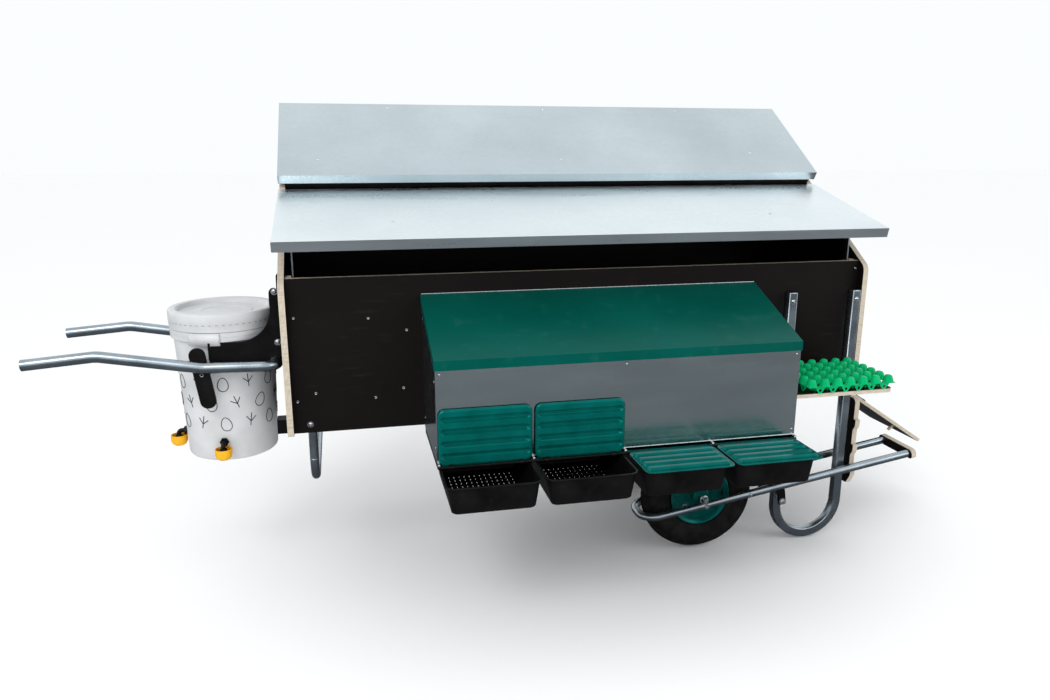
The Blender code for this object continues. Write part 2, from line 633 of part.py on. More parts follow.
# ---- left end -----------------------------------------------------------------------------------------------
def handle_and_leg():
    """The bent handle tube round the bucket, and the loop under the left end."""
    near, far = HANDLE_Y
    along = -PLY - HANDLE_RADIUS - GAP
    arm = [(-0.697, 0.262), (-0.510, 0.2765), (-0.235, 0.2275), (along, 0.2225)]
    corners = [(x, near, z) for x, z in arm] + [(x, far, z) for x, z in reversed(arm)]
    tube("handle_tube", bent_path(corners, [0.10, 0.10, 0.042, 0.042, 0.10, 0.10]), HANDLE_RADIUS, ZINC, HOUSE)

    inset = RECESS + PLY + GAP + FRAME_TUBE
    front, back, top = inset, DEPTH - inset, 0.060
    loop = [(LEFT_LEG_X, front, top), (LEFT_LEG_X, front, LEFT_LEG_BOTTOM),
            (LEFT_LEG_X, back, LEFT_LEG_BOTTOM), (LEFT_LEG_X, back, top)]
    tube("left_leg_loop", bent_path(loop, [0.080, 0.080], 6), FRAME_TUBE, ZINC, HOUSE)


def bucket_plate(name, side_y):
    """Black plate whose level top edge carries the bucket's collar."""
    corners = [(-0.2250, COLLAR_BASE - GAP), (-0.2250, 0.2400), (-0.2130, 0.1990), (-0.0980, 0.1990),
               (-0.0930, 0.2405), (-0.0185, 0.2405), (-0.0185, 0.4300), (-0.0300, 0.4500), (-0.0460, 0.4350),
               (-0.0470, 0.3950)]
    outline = rounded([Vector(point) for point in corners],
                      [0.0, 0.01, 0.008, 0.006, 0.008, 0.008, 0.004, 0.008, 0.010, 0.0], 3)
    middle = Vector((-0.1410, 0.3830))
    radius = middle.y - (COLLAR_BASE - GAP)
    for step in range(1, 9):
        angle = math.radians(7.3 - 97.3 * step / 8)
        outline.append(middle + radius * Vector((math.cos(angle), math.sin(angle))))
    plate(name, "XZ", [outline], side_y, 0.0105, BLACK_METAL, HOUSE)


def toggle(name, side_y):
    """Black bar that turns on a bolt through the handle tube."""
    turn = frame(name + "_pivot", (-0.2475, side_y, 0.222), HOUSE, math.radians(-8.0), "Y")
    bar = rounded(rectangle((-0.0215, -0.122), (0.0235, 0.060)), 0.0205, 5)
    plate(name, "XZ", [bar], 0.0, 0.010, BLACK_PLASTIC, turn)


def bucket():
    """White bucket with a press-on lid, and two drinking cups on their valves."""
    stand = frame("bucket_lift", (BUCKET_X, BUCKET_Y, 0.0), HOUSE)
    wall, base, taper = BUCKET_WALL, BUCKET_BASE, BUCKET_TOP_RADIUS - BUCKET_BASE_RADIUS
    lower = BUCKET_BASE_RADIUS + taper * (COLLAR_BASE - base) / (BUCKET_TOP - base)
    profile = [(BUCKET_TOP_RADIUS - wall, BUCKET_TOP), (BUCKET_TOP_RADIUS, BUCKET_TOP),
               (BUCKET_TOP_RADIUS, COLLAR_BASE + 0.0280), (COLLAR_RADIUS, COLLAR_BASE + 0.0280),
               (COLLAR_RADIUS, COLLAR_BASE), (lower, COLLAR_BASE), (BUCKET_BASE_RADIUS, base), (0.0, base),
               (0.0, base + wall), (BUCKET_BASE_RADIUS - wall, base + wall)]
    turned("bucket", profile, WHITE_PLASTIC, stand, (0.0, 0.0, 0.0), steps=40, closed=True)
    rim, skirt = 0.157, COLLAR_BASE + 0.0285
    seat = BUCKET_TOP + GAP
    cover = [(0.0, LID_TOP - 0.018), (0.130, LID_TOP - 0.018), (0.137, LID_TOP), (0.153, LID_TOP),
             (rim, LID_TOP - 0.005), (rim, skirt), (BUCKET_TOP_RADIUS + 0.001, skirt), (BUCKET_TOP_RADIUS + 0.001, seat), (0.0, seat)]
    turned("bucket_lid", cover, WHITE_PLASTIC, stand, (0.0, 0.0, 0.0), steps=40)

    stem_z, level = -0.020, -0.052
    for label, angle in (("front", -94.0), ("side", 180.0)):
        out = math.radians(angle)
        way = Vector((math.cos(out), math.sin(out), 0.0))
        reach = BUCKET_BASE_RADIUS + 0.007
        start = way * (reach - 0.0030) + Vector((0.0, 0.0, stem_z))
        middle = way * (BUCKET_BASE_RADIUS + 0.030)
        corner = middle + Vector((0.0, 0.0, stem_z))
        foot = middle + Vector((0.0, 0.0, level + 0.020))
        tube("drinker_valve_" + label, bent_path([start, corner, foot], [0.012], 4), 0.008, BLACK_PLASTIC, stand)
        cup = [(0.024, 0.019), (0.0245, 0.0), (0.020, -0.010), (0.010, -0.015), (0.0, -0.016), (0.0, -0.013),
               (0.009, -0.012), (0.018, -0.008), (0.0220, 0.0), (0.0215, 0.019)]
        turned("drinker_cup_" + label, cup, YELLOW_PLASTIC, stand, middle + Vector((0.0, 0.0, level)),
               steps=20, closed=True)


def left_end():
    """Everything fixed to the left end wall."""
    handle_and_leg()
    for label, side_y in (("near", 0.04525), ("far", 2 * BUCKET_Y - 0.04525)):
        bucket_plate("bucket_plate_" + label, side_y)
    for label, side_y in (("near", 0.0170), ("far", 2 * BUCKET_Y - 0.0170)):
        toggle("toggle_" + label, side_y)
    block("bucket_stop", (-0.0480, 0.030, 0.003), (-PLY - GAP, 0.075, 0.046), BLACK_PLASTIC, HOUSE)
    bucket()


walls()
roof()
nest_box()
egg_trays()
shelf()
leg_loop("leg_loop_front", LEG_TUBE / 2 - GAP)
leg_loop("leg_loop_rear", DEPTH - LEG_TUBE / 2 + GAP)
rack("height_rack_front", WHEEL_PLANE, 1.0)
rack("height_rack_rear", DEPTH - WHEEL_PLANE, -1.0)
wheel_unit("front", WHEEL_PLANE, 1.0, 0.497)
wheel_unit("rear", DEPTH - WHEEL_PLANE, -1.0, 0.405)
ramp()
left_end()
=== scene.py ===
"""Visual model of the mobile hen house: fine surfaces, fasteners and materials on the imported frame."""
import json
from math import atan2, copysign, cos, floor, hypot, pi, radians, sin, tan

import bmesh
import bpy
from mathutils import Matrix, Vector


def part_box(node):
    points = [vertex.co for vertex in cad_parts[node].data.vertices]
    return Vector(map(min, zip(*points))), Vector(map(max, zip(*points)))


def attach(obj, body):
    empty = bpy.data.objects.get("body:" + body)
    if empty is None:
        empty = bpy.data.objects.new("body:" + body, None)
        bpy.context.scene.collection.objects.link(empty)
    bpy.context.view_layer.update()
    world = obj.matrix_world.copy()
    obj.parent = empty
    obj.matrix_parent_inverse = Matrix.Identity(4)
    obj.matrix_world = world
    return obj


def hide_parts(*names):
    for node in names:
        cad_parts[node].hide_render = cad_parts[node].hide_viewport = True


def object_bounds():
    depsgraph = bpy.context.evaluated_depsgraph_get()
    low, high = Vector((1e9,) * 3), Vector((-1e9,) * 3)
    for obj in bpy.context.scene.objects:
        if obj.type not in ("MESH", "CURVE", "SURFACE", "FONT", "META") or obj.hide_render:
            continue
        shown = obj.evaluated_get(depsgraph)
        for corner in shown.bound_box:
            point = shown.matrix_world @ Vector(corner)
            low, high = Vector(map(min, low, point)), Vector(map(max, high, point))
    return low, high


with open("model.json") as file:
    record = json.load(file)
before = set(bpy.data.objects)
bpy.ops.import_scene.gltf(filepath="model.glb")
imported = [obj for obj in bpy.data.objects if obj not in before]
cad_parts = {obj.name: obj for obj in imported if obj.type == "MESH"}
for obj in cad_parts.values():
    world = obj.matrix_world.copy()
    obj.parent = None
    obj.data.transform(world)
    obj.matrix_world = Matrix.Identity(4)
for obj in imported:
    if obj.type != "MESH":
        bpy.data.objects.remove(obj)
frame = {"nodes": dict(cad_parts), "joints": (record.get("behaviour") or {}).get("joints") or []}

CAD_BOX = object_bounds()
NODES = frame["nodes"]


# ---- places, read from the frame ----
def low(node):
    """Lowest corner of a CAD node."""
    return Vector(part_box(node)[0])


def high(node):
    """Highest corner of a CAD node."""
    return Vector(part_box(node)[1])


def centre(node):
    """Middle of a CAD node's box."""
    return (low(node) + high(node)) / 2


def joint_at(name):
    """A hinge's position."""
    return Vector(next(joint["pos_m"] for joint in frame["joints"] if joint["name"] == name))


ORIGIN = Vector((high("left_end_wall").x, low("left_end_wall").y, low("left_end_wall").z))
INSIDE = low("right_end_wall").x - ORIGIN.x
DEPTH = high("left_end_wall").y - ORIGIN.y
PLY = high("front_wall").y - low("front_wall").y
WALL_FACE = low("front_wall").y - ORIGIN.y

ROOF_SLOPE = radians(33.33)
LOWER_OPENING = radians(18.8)
EAVES = 0.4537
FRAME_TILT = radians(9.0)
LID_LEAN = radians(91.5)


def at(x, y, z):
    """A point given in the house frame: from the left end wall, its front edge and its bottom."""
    return ORIGIN + Vector((x, y, z))


def placed(origin, turn=0.0, axis="X"):
    """A matrix at a point, turned about one axis."""
    return Matrix.Translation(origin) @ Matrix.Rotation(turn, 4, axis)


def local(node, point=centre):
    """A CAD node's middle, or a corner of it, in the house frame."""
    return point(node) - ORIGIN


HOUSE = placed(ORIGIN)
ROOF = placed(at(0.0, 0.0, EAVES), ROOF_SLOPE)
LIFTED = placed(Vector((ORIGIN.x, *joint_at("roof_panel_hinge")[1:])), ROOF_SLOPE - LOWER_OPENING)
NEST_SLOPE = atan2(0.412 - 0.2855, 0.0297 + 0.285)
NEST_LID = placed(Vector((ORIGIN.x, *joint_at("nest_lid_hinge")[1:])), NEST_SLOPE)


# ---- materials ----
TEAL_SHEEN = (0.04, 0.92, 0.86, 1.0)


def material(name, roughness=0.5, metallic=0.0, **sockets):
    """A Principled material whose even values sit on the shader's own sockets."""
    made = bpy.data.materials.new(name)
    made.use_nodes = True
    shader = made.node_tree.nodes["Principled BSDF"]
    shader.inputs["Roughness"].default_value = roughness
    shader.inputs["Metallic"].default_value = metallic
    for socket, value in sockets.items():
        shader.inputs[socket.replace("_", " ")].default_value = value
    return made


def node(mat, kind, inputs=None, **settings):
    """Add a shader node; an input that is a socket is linked, and any other is its value."""
    made = mat.node_tree.nodes.new("ShaderNode" + kind)
    for key, value in settings.items():
        setattr(made, key, value)
    for key, value in (inputs or {}).items():
        if isinstance(value, bpy.types.NodeSocket):
            mat.node_tree.links.new(value, made.inputs[key])
        else:
            made.inputs[key].default_value = value
    return made


def spot(mat, stretch=(1.0, 1.0, 1.0)):
    """Object coordinates, scaled along each axis."""
    place = node(mat, "TexCoord").outputs["Object"]
    return node(mat, "Mapping", {"Vector": place, "Scale": stretch}).outputs["Vector"]


def noise(mat, scale, detail=4.0, stretch=(1.0, 1.0, 1.0)):
    """Noise from 0 to 1 in object space."""
    inputs = {"Vector": spot(mat, stretch), "Scale": scale, "Detail": detail}
    return node(mat, "TexNoise", inputs).outputs["Fac"]


def ramp(mat, value, start, end, low_out=0.0, high_out=1.0):
    """Stretch part of a value's range over another range."""
    inputs = {"Value": value, "From Min": start, "From Max": end, "To Min": low_out, "To Max": high_out}
    return node(mat, "MapRange", inputs).outputs["Result"]


def blend(mat, factor, first, second):
    """Mix two colours, each a colour socket or three numbers."""
    made = node(mat, "Mix", data_type="RGBA")
    for socket, value in ((made.inputs[0], factor), (made.inputs[6], first), (made.inputs[7], second)):
        if isinstance(value, bpy.types.NodeSocket):
            mat.node_tree.links.new(value, socket)
        else:
            socket.default_value = (*value, 1.0) if isinstance(value, tuple) else value
    return made.outputs[2]


def combine(mat, operation, first, second=0.0):
    """One Math node."""
    return node(mat, "Math", {0: first, 1: second}, operation=operation).outputs["Value"]


def tint(mat, color, mask, strength, other):
    """Blend another colour in where a mask is high."""
    return blend(mat, combine(mat, "MULTIPLY", mask, strength), color, other)


def wear(mat, color=None, roughness=None, bumps=()):
    """Link a material's colour, roughness and a chain of (height, strength, distance) bumps."""
    shader = mat.node_tree.nodes["Principled BSDF"]
    links = mat.node_tree.links
    if color is not None:
        links.new(color, shader.inputs["Base Color"])
    if roughness is not None:
        links.new(roughness, shader.inputs["Roughness"])
    normal = None
    for height, strength, distance in bumps:
        inputs = {"Height": height, "Strength": strength, "Distance": distance}
        if normal is not None:
            inputs["Normal"] = normal
        normal = node(mat, "Bump", inputs).outputs["Normal"]
    if normal is not None:
        links.new(normal, shader.inputs["Normal"])
    return mat


def film_ply(name, axis):
    """Dark film-faced plywood whose cut edges, square to the axis across the board, show pale plies."""
    mat = material(name, Specular_IOR_Level=0.14)
    normal = node(mat, "TexCoord").outputs["Normal"]
    facing = node(mat, "VectorMath", {0: normal, 1: axis}, operation="DOT_PRODUCT").outputs["Value"]
    film = ramp(mat, combine(mat, "ABSOLUTE", facing), 0.8, 0.9)
    cloud = noise(mat, 3.0, 6.0)
    scuffs = ramp(mat, noise(mat, 9.0, 9.0, (1.0, 1.0, 7.0)), 0.6, 0.72)
    face = blend(mat, cloud, (0.004, 0.0026, 0.0024), (0.009, 0.0062, 0.0056))
    face = tint(mat, face, scuffs, 0.2, (0.04, 0.03, 0.027))
    across = node(mat, "VectorMath", {0: node(mat, "TexCoord").outputs["Object"], 1: axis},
                  operation="DOT_PRODUCT").outputs["Value"]
    layers = combine(mat, "SINE", combine(mat, "MULTIPLY", across, 2 * pi / 0.0036))
    layers = ramp(mat, layers, -0.4, 0.6)
    grain = noise(mat, 60.0, 6.0, (1.0, 1.0, 3.0))
    edge = blend(mat, layers, (0.48, 0.4, 0.31), (0.7, 0.63, 0.53))
    edge = tint(mat, edge, ramp(mat, grain, 0.45, 0.75), 0.45, (0.33, 0.25, 0.17))
    grid = noise(mat, 900.0, 2.0)
    rough = blend(mat, film, (0.75, 0.75, 0.75), ramp(mat, cloud, 0.3, 0.7, 0.34, 0.5))
    return wear(mat, blend(mat, film, edge, face), rough,
                [(layers, 0.15, 0.0003), (grid, 0.1, 0.0002), (cloud, 0.15, 0.002)])


def bare_ply():
    """Unfinished plywood or batten."""
    mat = material("bare_ply", 0.7)
    grain = noise(mat, 12.0, 8.0, (1.0, 9.0, 9.0))
    patch = noise(mat, 4.0, 3.0)
    color = blend(mat, grain, (0.42, 0.31, 0.2), (0.72, 0.6, 0.44))
    color = tint(mat, color, patch, 0.35, (0.55, 0.44, 0.32))
    return wear(mat, color, ramp(mat, grain, 0.3, 0.7, 0.6, 0.8), [(grain, 0.3, 0.0006)])


def zinc_sheet(name, dark, light, shine=(0.3, 0.46)):
    """Galvanised sheet: a faint spangle, rolling streaks and clouded patches."""
    mat = material(name, metallic=1.0)
    cells = node(mat, "TexVoronoi", {"Vector": spot(mat), "Scale": 90.0}).outputs["Color"]
    spangle = node(mat, "SeparateColor", {"Color": cells}).outputs["Red"]
    clouds = noise(mat, 2.2, 7.0)
    streaks = noise(mat, 14.0, 5.0, (0.25, 3.0, 3.0))
    stain = ramp(mat, noise(mat, 6.0, 9.0), 0.56, 0.72)
    color = blend(mat, ramp(mat, clouds, 0.3, 0.7), dark, light)
    color = tint(mat, color, spangle, 0.08, tuple(0.75 * part for part in dark))
    bleached = tuple(min(1.0, 1.15 * part) for part in light)
    color = tint(mat, color, stain, 0.08, bleached)
    gloss = combine(mat, "ADD", ramp(mat, streaks, 0.3, 0.7, *shine), combine(mat, "MULTIPLY", spangle, 0.05))
    return wear(mat, color, gloss, [(spangle, 0.03, 0.0002), (streaks, 0.05, 0.0005)])


def zinc_tube():
    """Galvanised tube, smoother than the sheet, with clouding and dark specks."""
    mat = material("zinc_tube", metallic=1.0)
    clouds = noise(mat, 11.0, 6.0)
    specks = ramp(mat, noise(mat, 210.0, 3.0), 0.52, 0.78)
    color = blend(mat, ramp(mat, clouds, 0.3, 0.7), (0.29, 0.34, 0.375), (0.43, 0.495, 0.54))
    color = tint(mat, color, specks, 0.4, (0.19, 0.22, 0.24))
    return wear(mat, color, ramp(mat, clouds, 0.3, 0.7, 0.2, 0.34), [(specks, 0.12, 0.0003)])


def bright_steel():
    """Bright zinc-plated fasteners and rods."""
    mat = material("bright_steel", metallic=1.0)
    clouds = noise(mat, 160.0, 4.0)
    color = blend(mat, clouds, (0.48, 0.5, 0.52), (0.8, 0.82, 0.84))
    return wear(mat, color, ramp(mat, clouds, 0.3, 0.7, 0.2, 0.36), [(clouds, 0.08, 0.0002)])


def coated_sheet():
    """Blue-green coated steel sheet with a soft orange peel and handling marks."""
    mat = material("green_sheet", Specular_IOR_Level=0.3, Specular_Tint=TEAL_SHEEN)
    clouds = noise(mat, 3.0, 7.0)
    dust = ramp(mat, noise(mat, 24.0, 9.0), 0.58, 0.75)
    color = blend(mat, ramp(mat, clouds, 0.3, 0.7), (0.0006, 0.066, 0.05), (0.0012, 0.088, 0.068))
    color = tint(mat, color, dust, 0.08, (0.1, 0.22, 0.19))
    return wear(mat, color, ramp(mat, clouds, 0.3, 0.7, 0.3, 0.44), [(noise(mat, 600.0, 2.0), 0.05, 0.0002)])


def moulded(name, dark, light, rough=(0.36, 0.54), grain=500.0, dust=0.06, **sockets):
    """Moulded plastic: a slight flow clouding, a fine grain and a little dust."""
    mat = material(name, **sockets)
    flow = noise(mat, 14.0, 5.0)
    film = ramp(mat, noise(mat, 40.0, 8.0), 0.55, 0.8)
    color = blend(mat, ramp(mat, flow, 0.3, 0.7), dark, light)
    color = blend(mat, combine(mat, "MULTIPLY", film, dust), color, (0.45, 0.44, 0.42))
    return wear(mat, color, ramp(mat, flow, 0.3, 0.7, *rough), [(noise(mat, grain, 3.0), 0.16, 0.0003)])


def rubber():
    """Tyre rubber, scuffed and a little dusty."""
    mat = material("tyre_rubber", Specular_IOR_Level=0.1)
    scuff = noise(mat, 34.0, 9.0)
    color = blend(mat, ramp(mat, scuff, 0.35, 0.7), (0.004, 0.0038, 0.0038), (0.013, 0.0125, 0.012))
    return wear(mat, color, ramp(mat, scuff, 0.3, 0.7, 0.55, 0.8), [(scuff, 0.35, 0.001)])


FILM_X = film_ply("film_ply_x", (1.0, 0.0, 0.0))
FILM_Y = film_ply("film_ply_y", (0.0, 1.0, 0.0))
FILM_Z = film_ply("film_ply_z", (0.0, 0.0, 1.0))
RAMP_SLOPE = radians(33.4)
FILM_RAMP = film_ply("film_ply_ramp", (sin(RAMP_SLOPE), 0.0, cos(RAMP_SLOPE)))
BARE_PLY = bare_ply()
ROOF_ZINC = zinc_sheet("roof_zinc", (0.5, 0.575, 0.61), (0.62, 0.7, 0.735), (0.24, 0.36))
# Same galvanised sheet as the rear panel in lighter colours: painted light for the front panel's flatter,
# better lit slope.
LIT_FRONT_PANEL_ZINC = zinc_sheet("front_panel_zinc_painted_light", (0.74, 0.82, 0.85), (0.86, 0.93, 0.95), (0.24, 0.36))
NEST_ZINC = zinc_sheet("nest_zinc", (0.53, 0.61, 0.62), (0.64, 0.73, 0.74), (0.12, 0.22))
TUBE_ZINC = zinc_tube()
STEEL = bright_steel()
GREEN_SHEET = coated_sheet()
GREEN_PLASTIC = moulded("green_plastic", (0.0004, 0.076, 0.064), (0.0008, 0.112, 0.1), (0.14, 0.22),
                        dust=0.01, Specular_IOR_Level=0.5, Specular_Tint=TEAL_SHEEN)
EGG_GREEN = moulded("egg_tray_green", (0.001, 0.34, 0.11), (0.003, 0.45, 0.155), (0.24, 0.38), dust=0.0,
                    Specular_IOR_Level=0.3, Specular_Tint=(0.05, 0.95, 0.55, 1.0))
BLACK_PLASTIC = moulded("black_plastic", (0.0028, 0.0024, 0.0023), (0.0075, 0.0062, 0.006), (0.34, 0.5),
                        dust=0.01, Specular_IOR_Level=0.16)
BLACK_PAINT = moulded("black_paint", (0.003, 0.0026, 0.0026), (0.0065, 0.0056, 0.0056), (0.34, 0.48), 900.0,
                      0.01, Specular_IOR_Level=0.12)
RUBBER = rubber()
RIM_PAINT = moulded("rim_paint", (0.0005, 0.045, 0.04), (0.0012, 0.075, 0.066), (0.18, 0.32), 300.0, 0.02,
                   Specular_Tint=TEAL_SHEEN)
WHITE_PLASTIC = moulded("white_plastic", (0.57, 0.575, 0.585), (0.66, 0.665, 0.675), (0.3, 0.42), 300.0, 0.04,
                        Specular_IOR_Level=0.4)
YELLOW_PLASTIC = moulded("yellow_plastic", (0.86, 0.38, 0.002), (0.96, 0.48, 0.004), (0.22, 0.36), 400.0, 0.0)
INK = moulded("dark_ink", (0.006, 0.008, 0.012), (0.012, 0.015, 0.02), (0.4, 0.55), 300.0, 0.0)


# ---- shapes ----
def show(name, data, mat, body="house", place=None, stands_for=()):
    """Add a piece to the scene, on a CAD body and in place of the nodes it stands for."""
    made = bpy.data.objects.new(name, data)
    bpy.context.scene.collection.objects.link(made)
    made.matrix_world = place or HOUSE
    data.materials.append(mat)
    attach(made, body)
    if stands_for:
        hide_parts(*stands_for)
    return made


def from_bmesh(name, bm, mat, body="house", place=None, stands_for=(), smooth=40.0):
    """Add a bmesh as a piece, shaded smooth up to an angle in degrees."""
    mesh = bpy.data.meshes.new(name)
    bmesh.ops.recalc_face_normals(bm, faces=bm.faces)
    bm.to_mesh(mesh)
    bm.free()
    mesh.shade_smooth()
    mesh.set_sharp_from_angle(angle=radians(smooth))
    return show(name, mesh, mat, body, place, stands_for)


def add_box(bm, size, where=(0.0, 0.0, 0.0)):
    """Add a box to a bmesh."""
    corners = bmesh.ops.create_cube(bm, size=1.0)["verts"]
    bmesh.ops.scale(bm, vec=size, verts=corners)
    bmesh.ops.translate(bm, vec=where, verts=corners)
    return corners


def fill_grid(bm, grid, is_hole=None):
    """Add the faces between the rows of a grid, apart from its holes."""
    for row, (first, second) in enumerate(zip(grid, grid[1:])):
        for column in range(len(first) - 1):
            if is_hole is None or not is_hole(row, column):
                bm.faces.new([first[column], first[column + 1], second[column + 1], second[column]])


def thicken(piece, thickness, offset):
    """Give a one-sided shell its wall."""
    skin = piece.modifiers.new("skin", "SOLIDIFY")
    skin.thickness = thickness
    skin.offset = offset


def weld(bm):
    """Join points that lie on each other."""
    bmesh.ops.remove_doubles(bm, verts=bm.verts, dist=0.00001)


def paint(mat, *names, rounding=0.0):
    """Give CAD nodes a finish and, where asked, softened edges."""
    for name in names:
        piece = NODES[name]
        piece.data.materials.clear()
        piece.data.materials.append(mat)
        if rounding:
            soften(piece, rounding)


def soften(piece, width, segments=2):
    """Round a piece's sharp edges."""
    edge = piece.modifiers.new("soft_edges", "BEVEL")
    edge.width = width
    edge.segments = segments
    edge.limit_method = "ANGLE"
    edge.angle_limit = radians(40)
    edge.harden_normals = True


def rounded(points, radii, steps=8):
    """A closed flat outline whose corners are arcs of the given radii."""
    outline = []
    count = len(points)
    for index, corner in enumerate(points):
        here = Vector(corner)
        radius = radii[index] if isinstance(radii, (list, tuple)) else radii
        if radius <= 0.0:
            outline.append(here)
            continue
        back = (Vector(points[index - 1]) - here).normalized()
        ahead = (Vector(points[(index + 1) % count]) - here).normalized()
        half = back.angle(ahead) / 2
        middle = here + (back + ahead).normalized() * (radius / sin(half))
        first = here + back * (radius / tan(half)) - middle
        turn = first.angle_signed(here + ahead * (radius / tan(half)) - middle)
        for step in range(steps + 1):
            outline.append(middle + Matrix.Rotation(-turn * step / steps, 2) @ first)
    return outline


def rectangle(lower, upper):
    """The four corners of a flat rectangle."""
    return [Vector(lower), Vector((upper[0], lower[1])), Vector(upper), Vector((lower[0], upper[1]))]


UPRIGHT = {"XZ": Matrix.Rotation(pi / 2, 4, "X"), "XY": Matrix.Identity(4),
           "YZ": Matrix.Rotation(pi / 2, 4, "Z") @ Matrix.Rotation(pi / 2, 4, "X")}
ACROSS = {"XZ": Vector((0, 1, 0)), "XY": Vector((0, 0, 1)), "YZ": Vector((1, 0, 0))}


def board(name, plane, outlines, middle, thickness, edge, mat, body="house", place=None, stands_for=()):
    """A flat piece with rounded edges, cut from board, plate or sheet; later outlines are its holes."""
    curve = bpy.data.curves.new(name, "CURVE")
    curve.dimensions = "2D"
    curve.fill_mode = "BOTH"
    curve.extrude = thickness / 2 - edge
    curve.bevel_depth = edge
    curve.bevel_resolution = 2
    curve.offset = -edge
    for outline in outlines:
        spline = curve.splines.new("POLY")
        spline.points.add(len(outline) - 1)
        for point, where in zip(spline.points, outline):
            point.co = (where[0], where[1], 0.0, 1.0)
        spline.use_cyclic_u = True
    stand = (place or HOUSE) @ Matrix.Translation(ACROSS[plane] * middle) @ UPRIGHT[plane]
    return show(name, curve, mat, body, stand, stands_for)


def bent_path(corners, radii, steps=14):
    """The centre line of a bent tube: straight runs joined by arcs at the inner corners."""
    path = [Vector(corners[0])]
    for index in range(1, len(corners) - 1):
        here = Vector(corners[index])
        back = (Vector(corners[index - 1]) - here).normalized()
        ahead = (Vector(corners[index + 1]) - here).normalized()
        half = back.angle(ahead) / 2
        radius = radii[index - 1]
        middle = here + (back + ahead).normalized() * (radius / sin(half))
        first = here + back * (radius / tan(half)) - middle
        last = here + ahead * (radius / tan(half)) - middle
        spin = first.cross(last).normalized()
        sweep = first.angle(last)
        for step in range(steps + 1):
            path.append(middle + Matrix.Rotation(sweep * step / steps, 3, spin) @ first)
    path.append(Vector(corners[-1]))
    return path


def tube(name, path, radius, mat, body="house", place=None, stands_for=(), closed=False):
    """A round tube or wire along a path."""
    curve = bpy.data.curves.new(name, "CURVE")
    curve.dimensions = "3D"
    curve.bevel_depth = radius
    curve.bevel_resolution = 6
    curve.use_fill_caps = not closed
    spline = curve.splines.new("POLY")
    spline.points.add(len(path) - 1)
    for point, where in zip(spline.points, path):
        point.co = (*where, 1.0)
    spline.use_cyclic_u = closed
    return show(name, curve, mat, body, place, stands_for)


def lathe(bm, profile, place=None, steps=64, closed=False):
    """Turn a profile of (radius, height) about the Z axis of a matrix, into a bmesh."""
    place = place or Matrix.Identity(4)
    rings = []
    for radius, height in profile:
        if radius == 0.0:
            rings.append([bm.verts.new(place @ Vector((0.0, 0.0, height)))])
            continue
        turns = [2 * pi * step / steps for step in range(steps)]
        rings.append([bm.verts.new(place @ Vector((radius * cos(a), radius * sin(a), height)))
                      for a in turns])
    pairs = list(zip(rings, rings[1:]))
    if closed:
        pairs.append((rings[-1], rings[0]))
    for upper, lower in pairs:
        for step in range(steps):
            ahead = (step + 1) % steps
            corners = [upper[step % len(upper)], upper[ahead % len(upper)],
                       lower[ahead % len(lower)], lower[step % len(lower)]]
            corners = list(dict.fromkeys(corners))
            if len(corners) > 2:
                bm.faces.new(corners)


def turned(name, profile, mat, body, place, stands_for=(), steps=64, closed=False, smooth=40.0):
    """A turned piece."""
    bm = bmesh.new()
    lathe(bm, profile, None, steps, closed)
    return from_bmesh(name, bm, mat, body, place, stands_for, smooth)


def facing(where, way):
    """A matrix at a point whose Z axis looks along a direction."""
    return Matrix.Translation(Vector(where)) @ Vector(way).to_track_quat("Z", "Y").to_matrix().to_4x4()


SUNK = 0.0003


def button_head(radius):
    """Profile of a domed screw head with a socket in its middle, sitting on a washer."""
    tall = 0.55 * radius
    shares = [(0.0, 0.35), (0.3, 0.35), (0.34, 0.95), (0.55, 0.9), (0.8, 0.62), (1.0, 0.12), (1.02, 0.08),
              (1.35, 0.08)]
    return [(reach * radius, rise * tall) for reach, rise in shares] + [(1.35 * radius, -SUNK), (0.0, -SUNK)]


def screw_head(radius):
    """Profile of a small flush screw head with a driver recess."""
    return [(0.0, -0.0002), (0.25 * radius, -0.0001), (0.45 * radius, 0.1 * radius),
            (0.85 * radius, 0.16 * radius), (radius, 0.02 * radius), (radius, -SUNK), (0.0, -0.0004)]


def fasteners(name, spots, profile, body="house", place=None, steps=20):
    """Several equal fasteners as one piece; each spot is a point and the direction it faces."""
    bm = bmesh.new()
    for where, way in spots:
        lathe(bm, profile, facing(where, way), steps)
    return from_bmesh(name, bm, STEEL, body, place, smooth=30.0)


def hex_bolt(name, spots, across, body="house", place=None):
    """Hexagon heads on washers, joined as one piece."""
    bm = bmesh.new()
    tall, base, corner = 0.38 * across, 0.0012, 0.57 * across
    head = [(0.0, tall + base), (0.4 * across, tall + base), (corner, tall * 0.85), (corner, base)]
    washer = [(0.0, 0.0014), (0.95 * across, 0.0014), (0.95 * across, -0.0002), (0.0, -0.0002)]
    for where, way in spots:
        lathe(bm, head, facing(where, way), 6)
        lathe(bm, washer, facing(where, way), 28)
    return from_bmesh(name, bm, STEEL, body, place, smooth=25.0)


# ---- house ----
FRONT, UP, OUT_RIGHT, OUT_LEFT = (0, -1, 0), (0, 0, 1), (1, 0, 0), (-1, 0, 0)


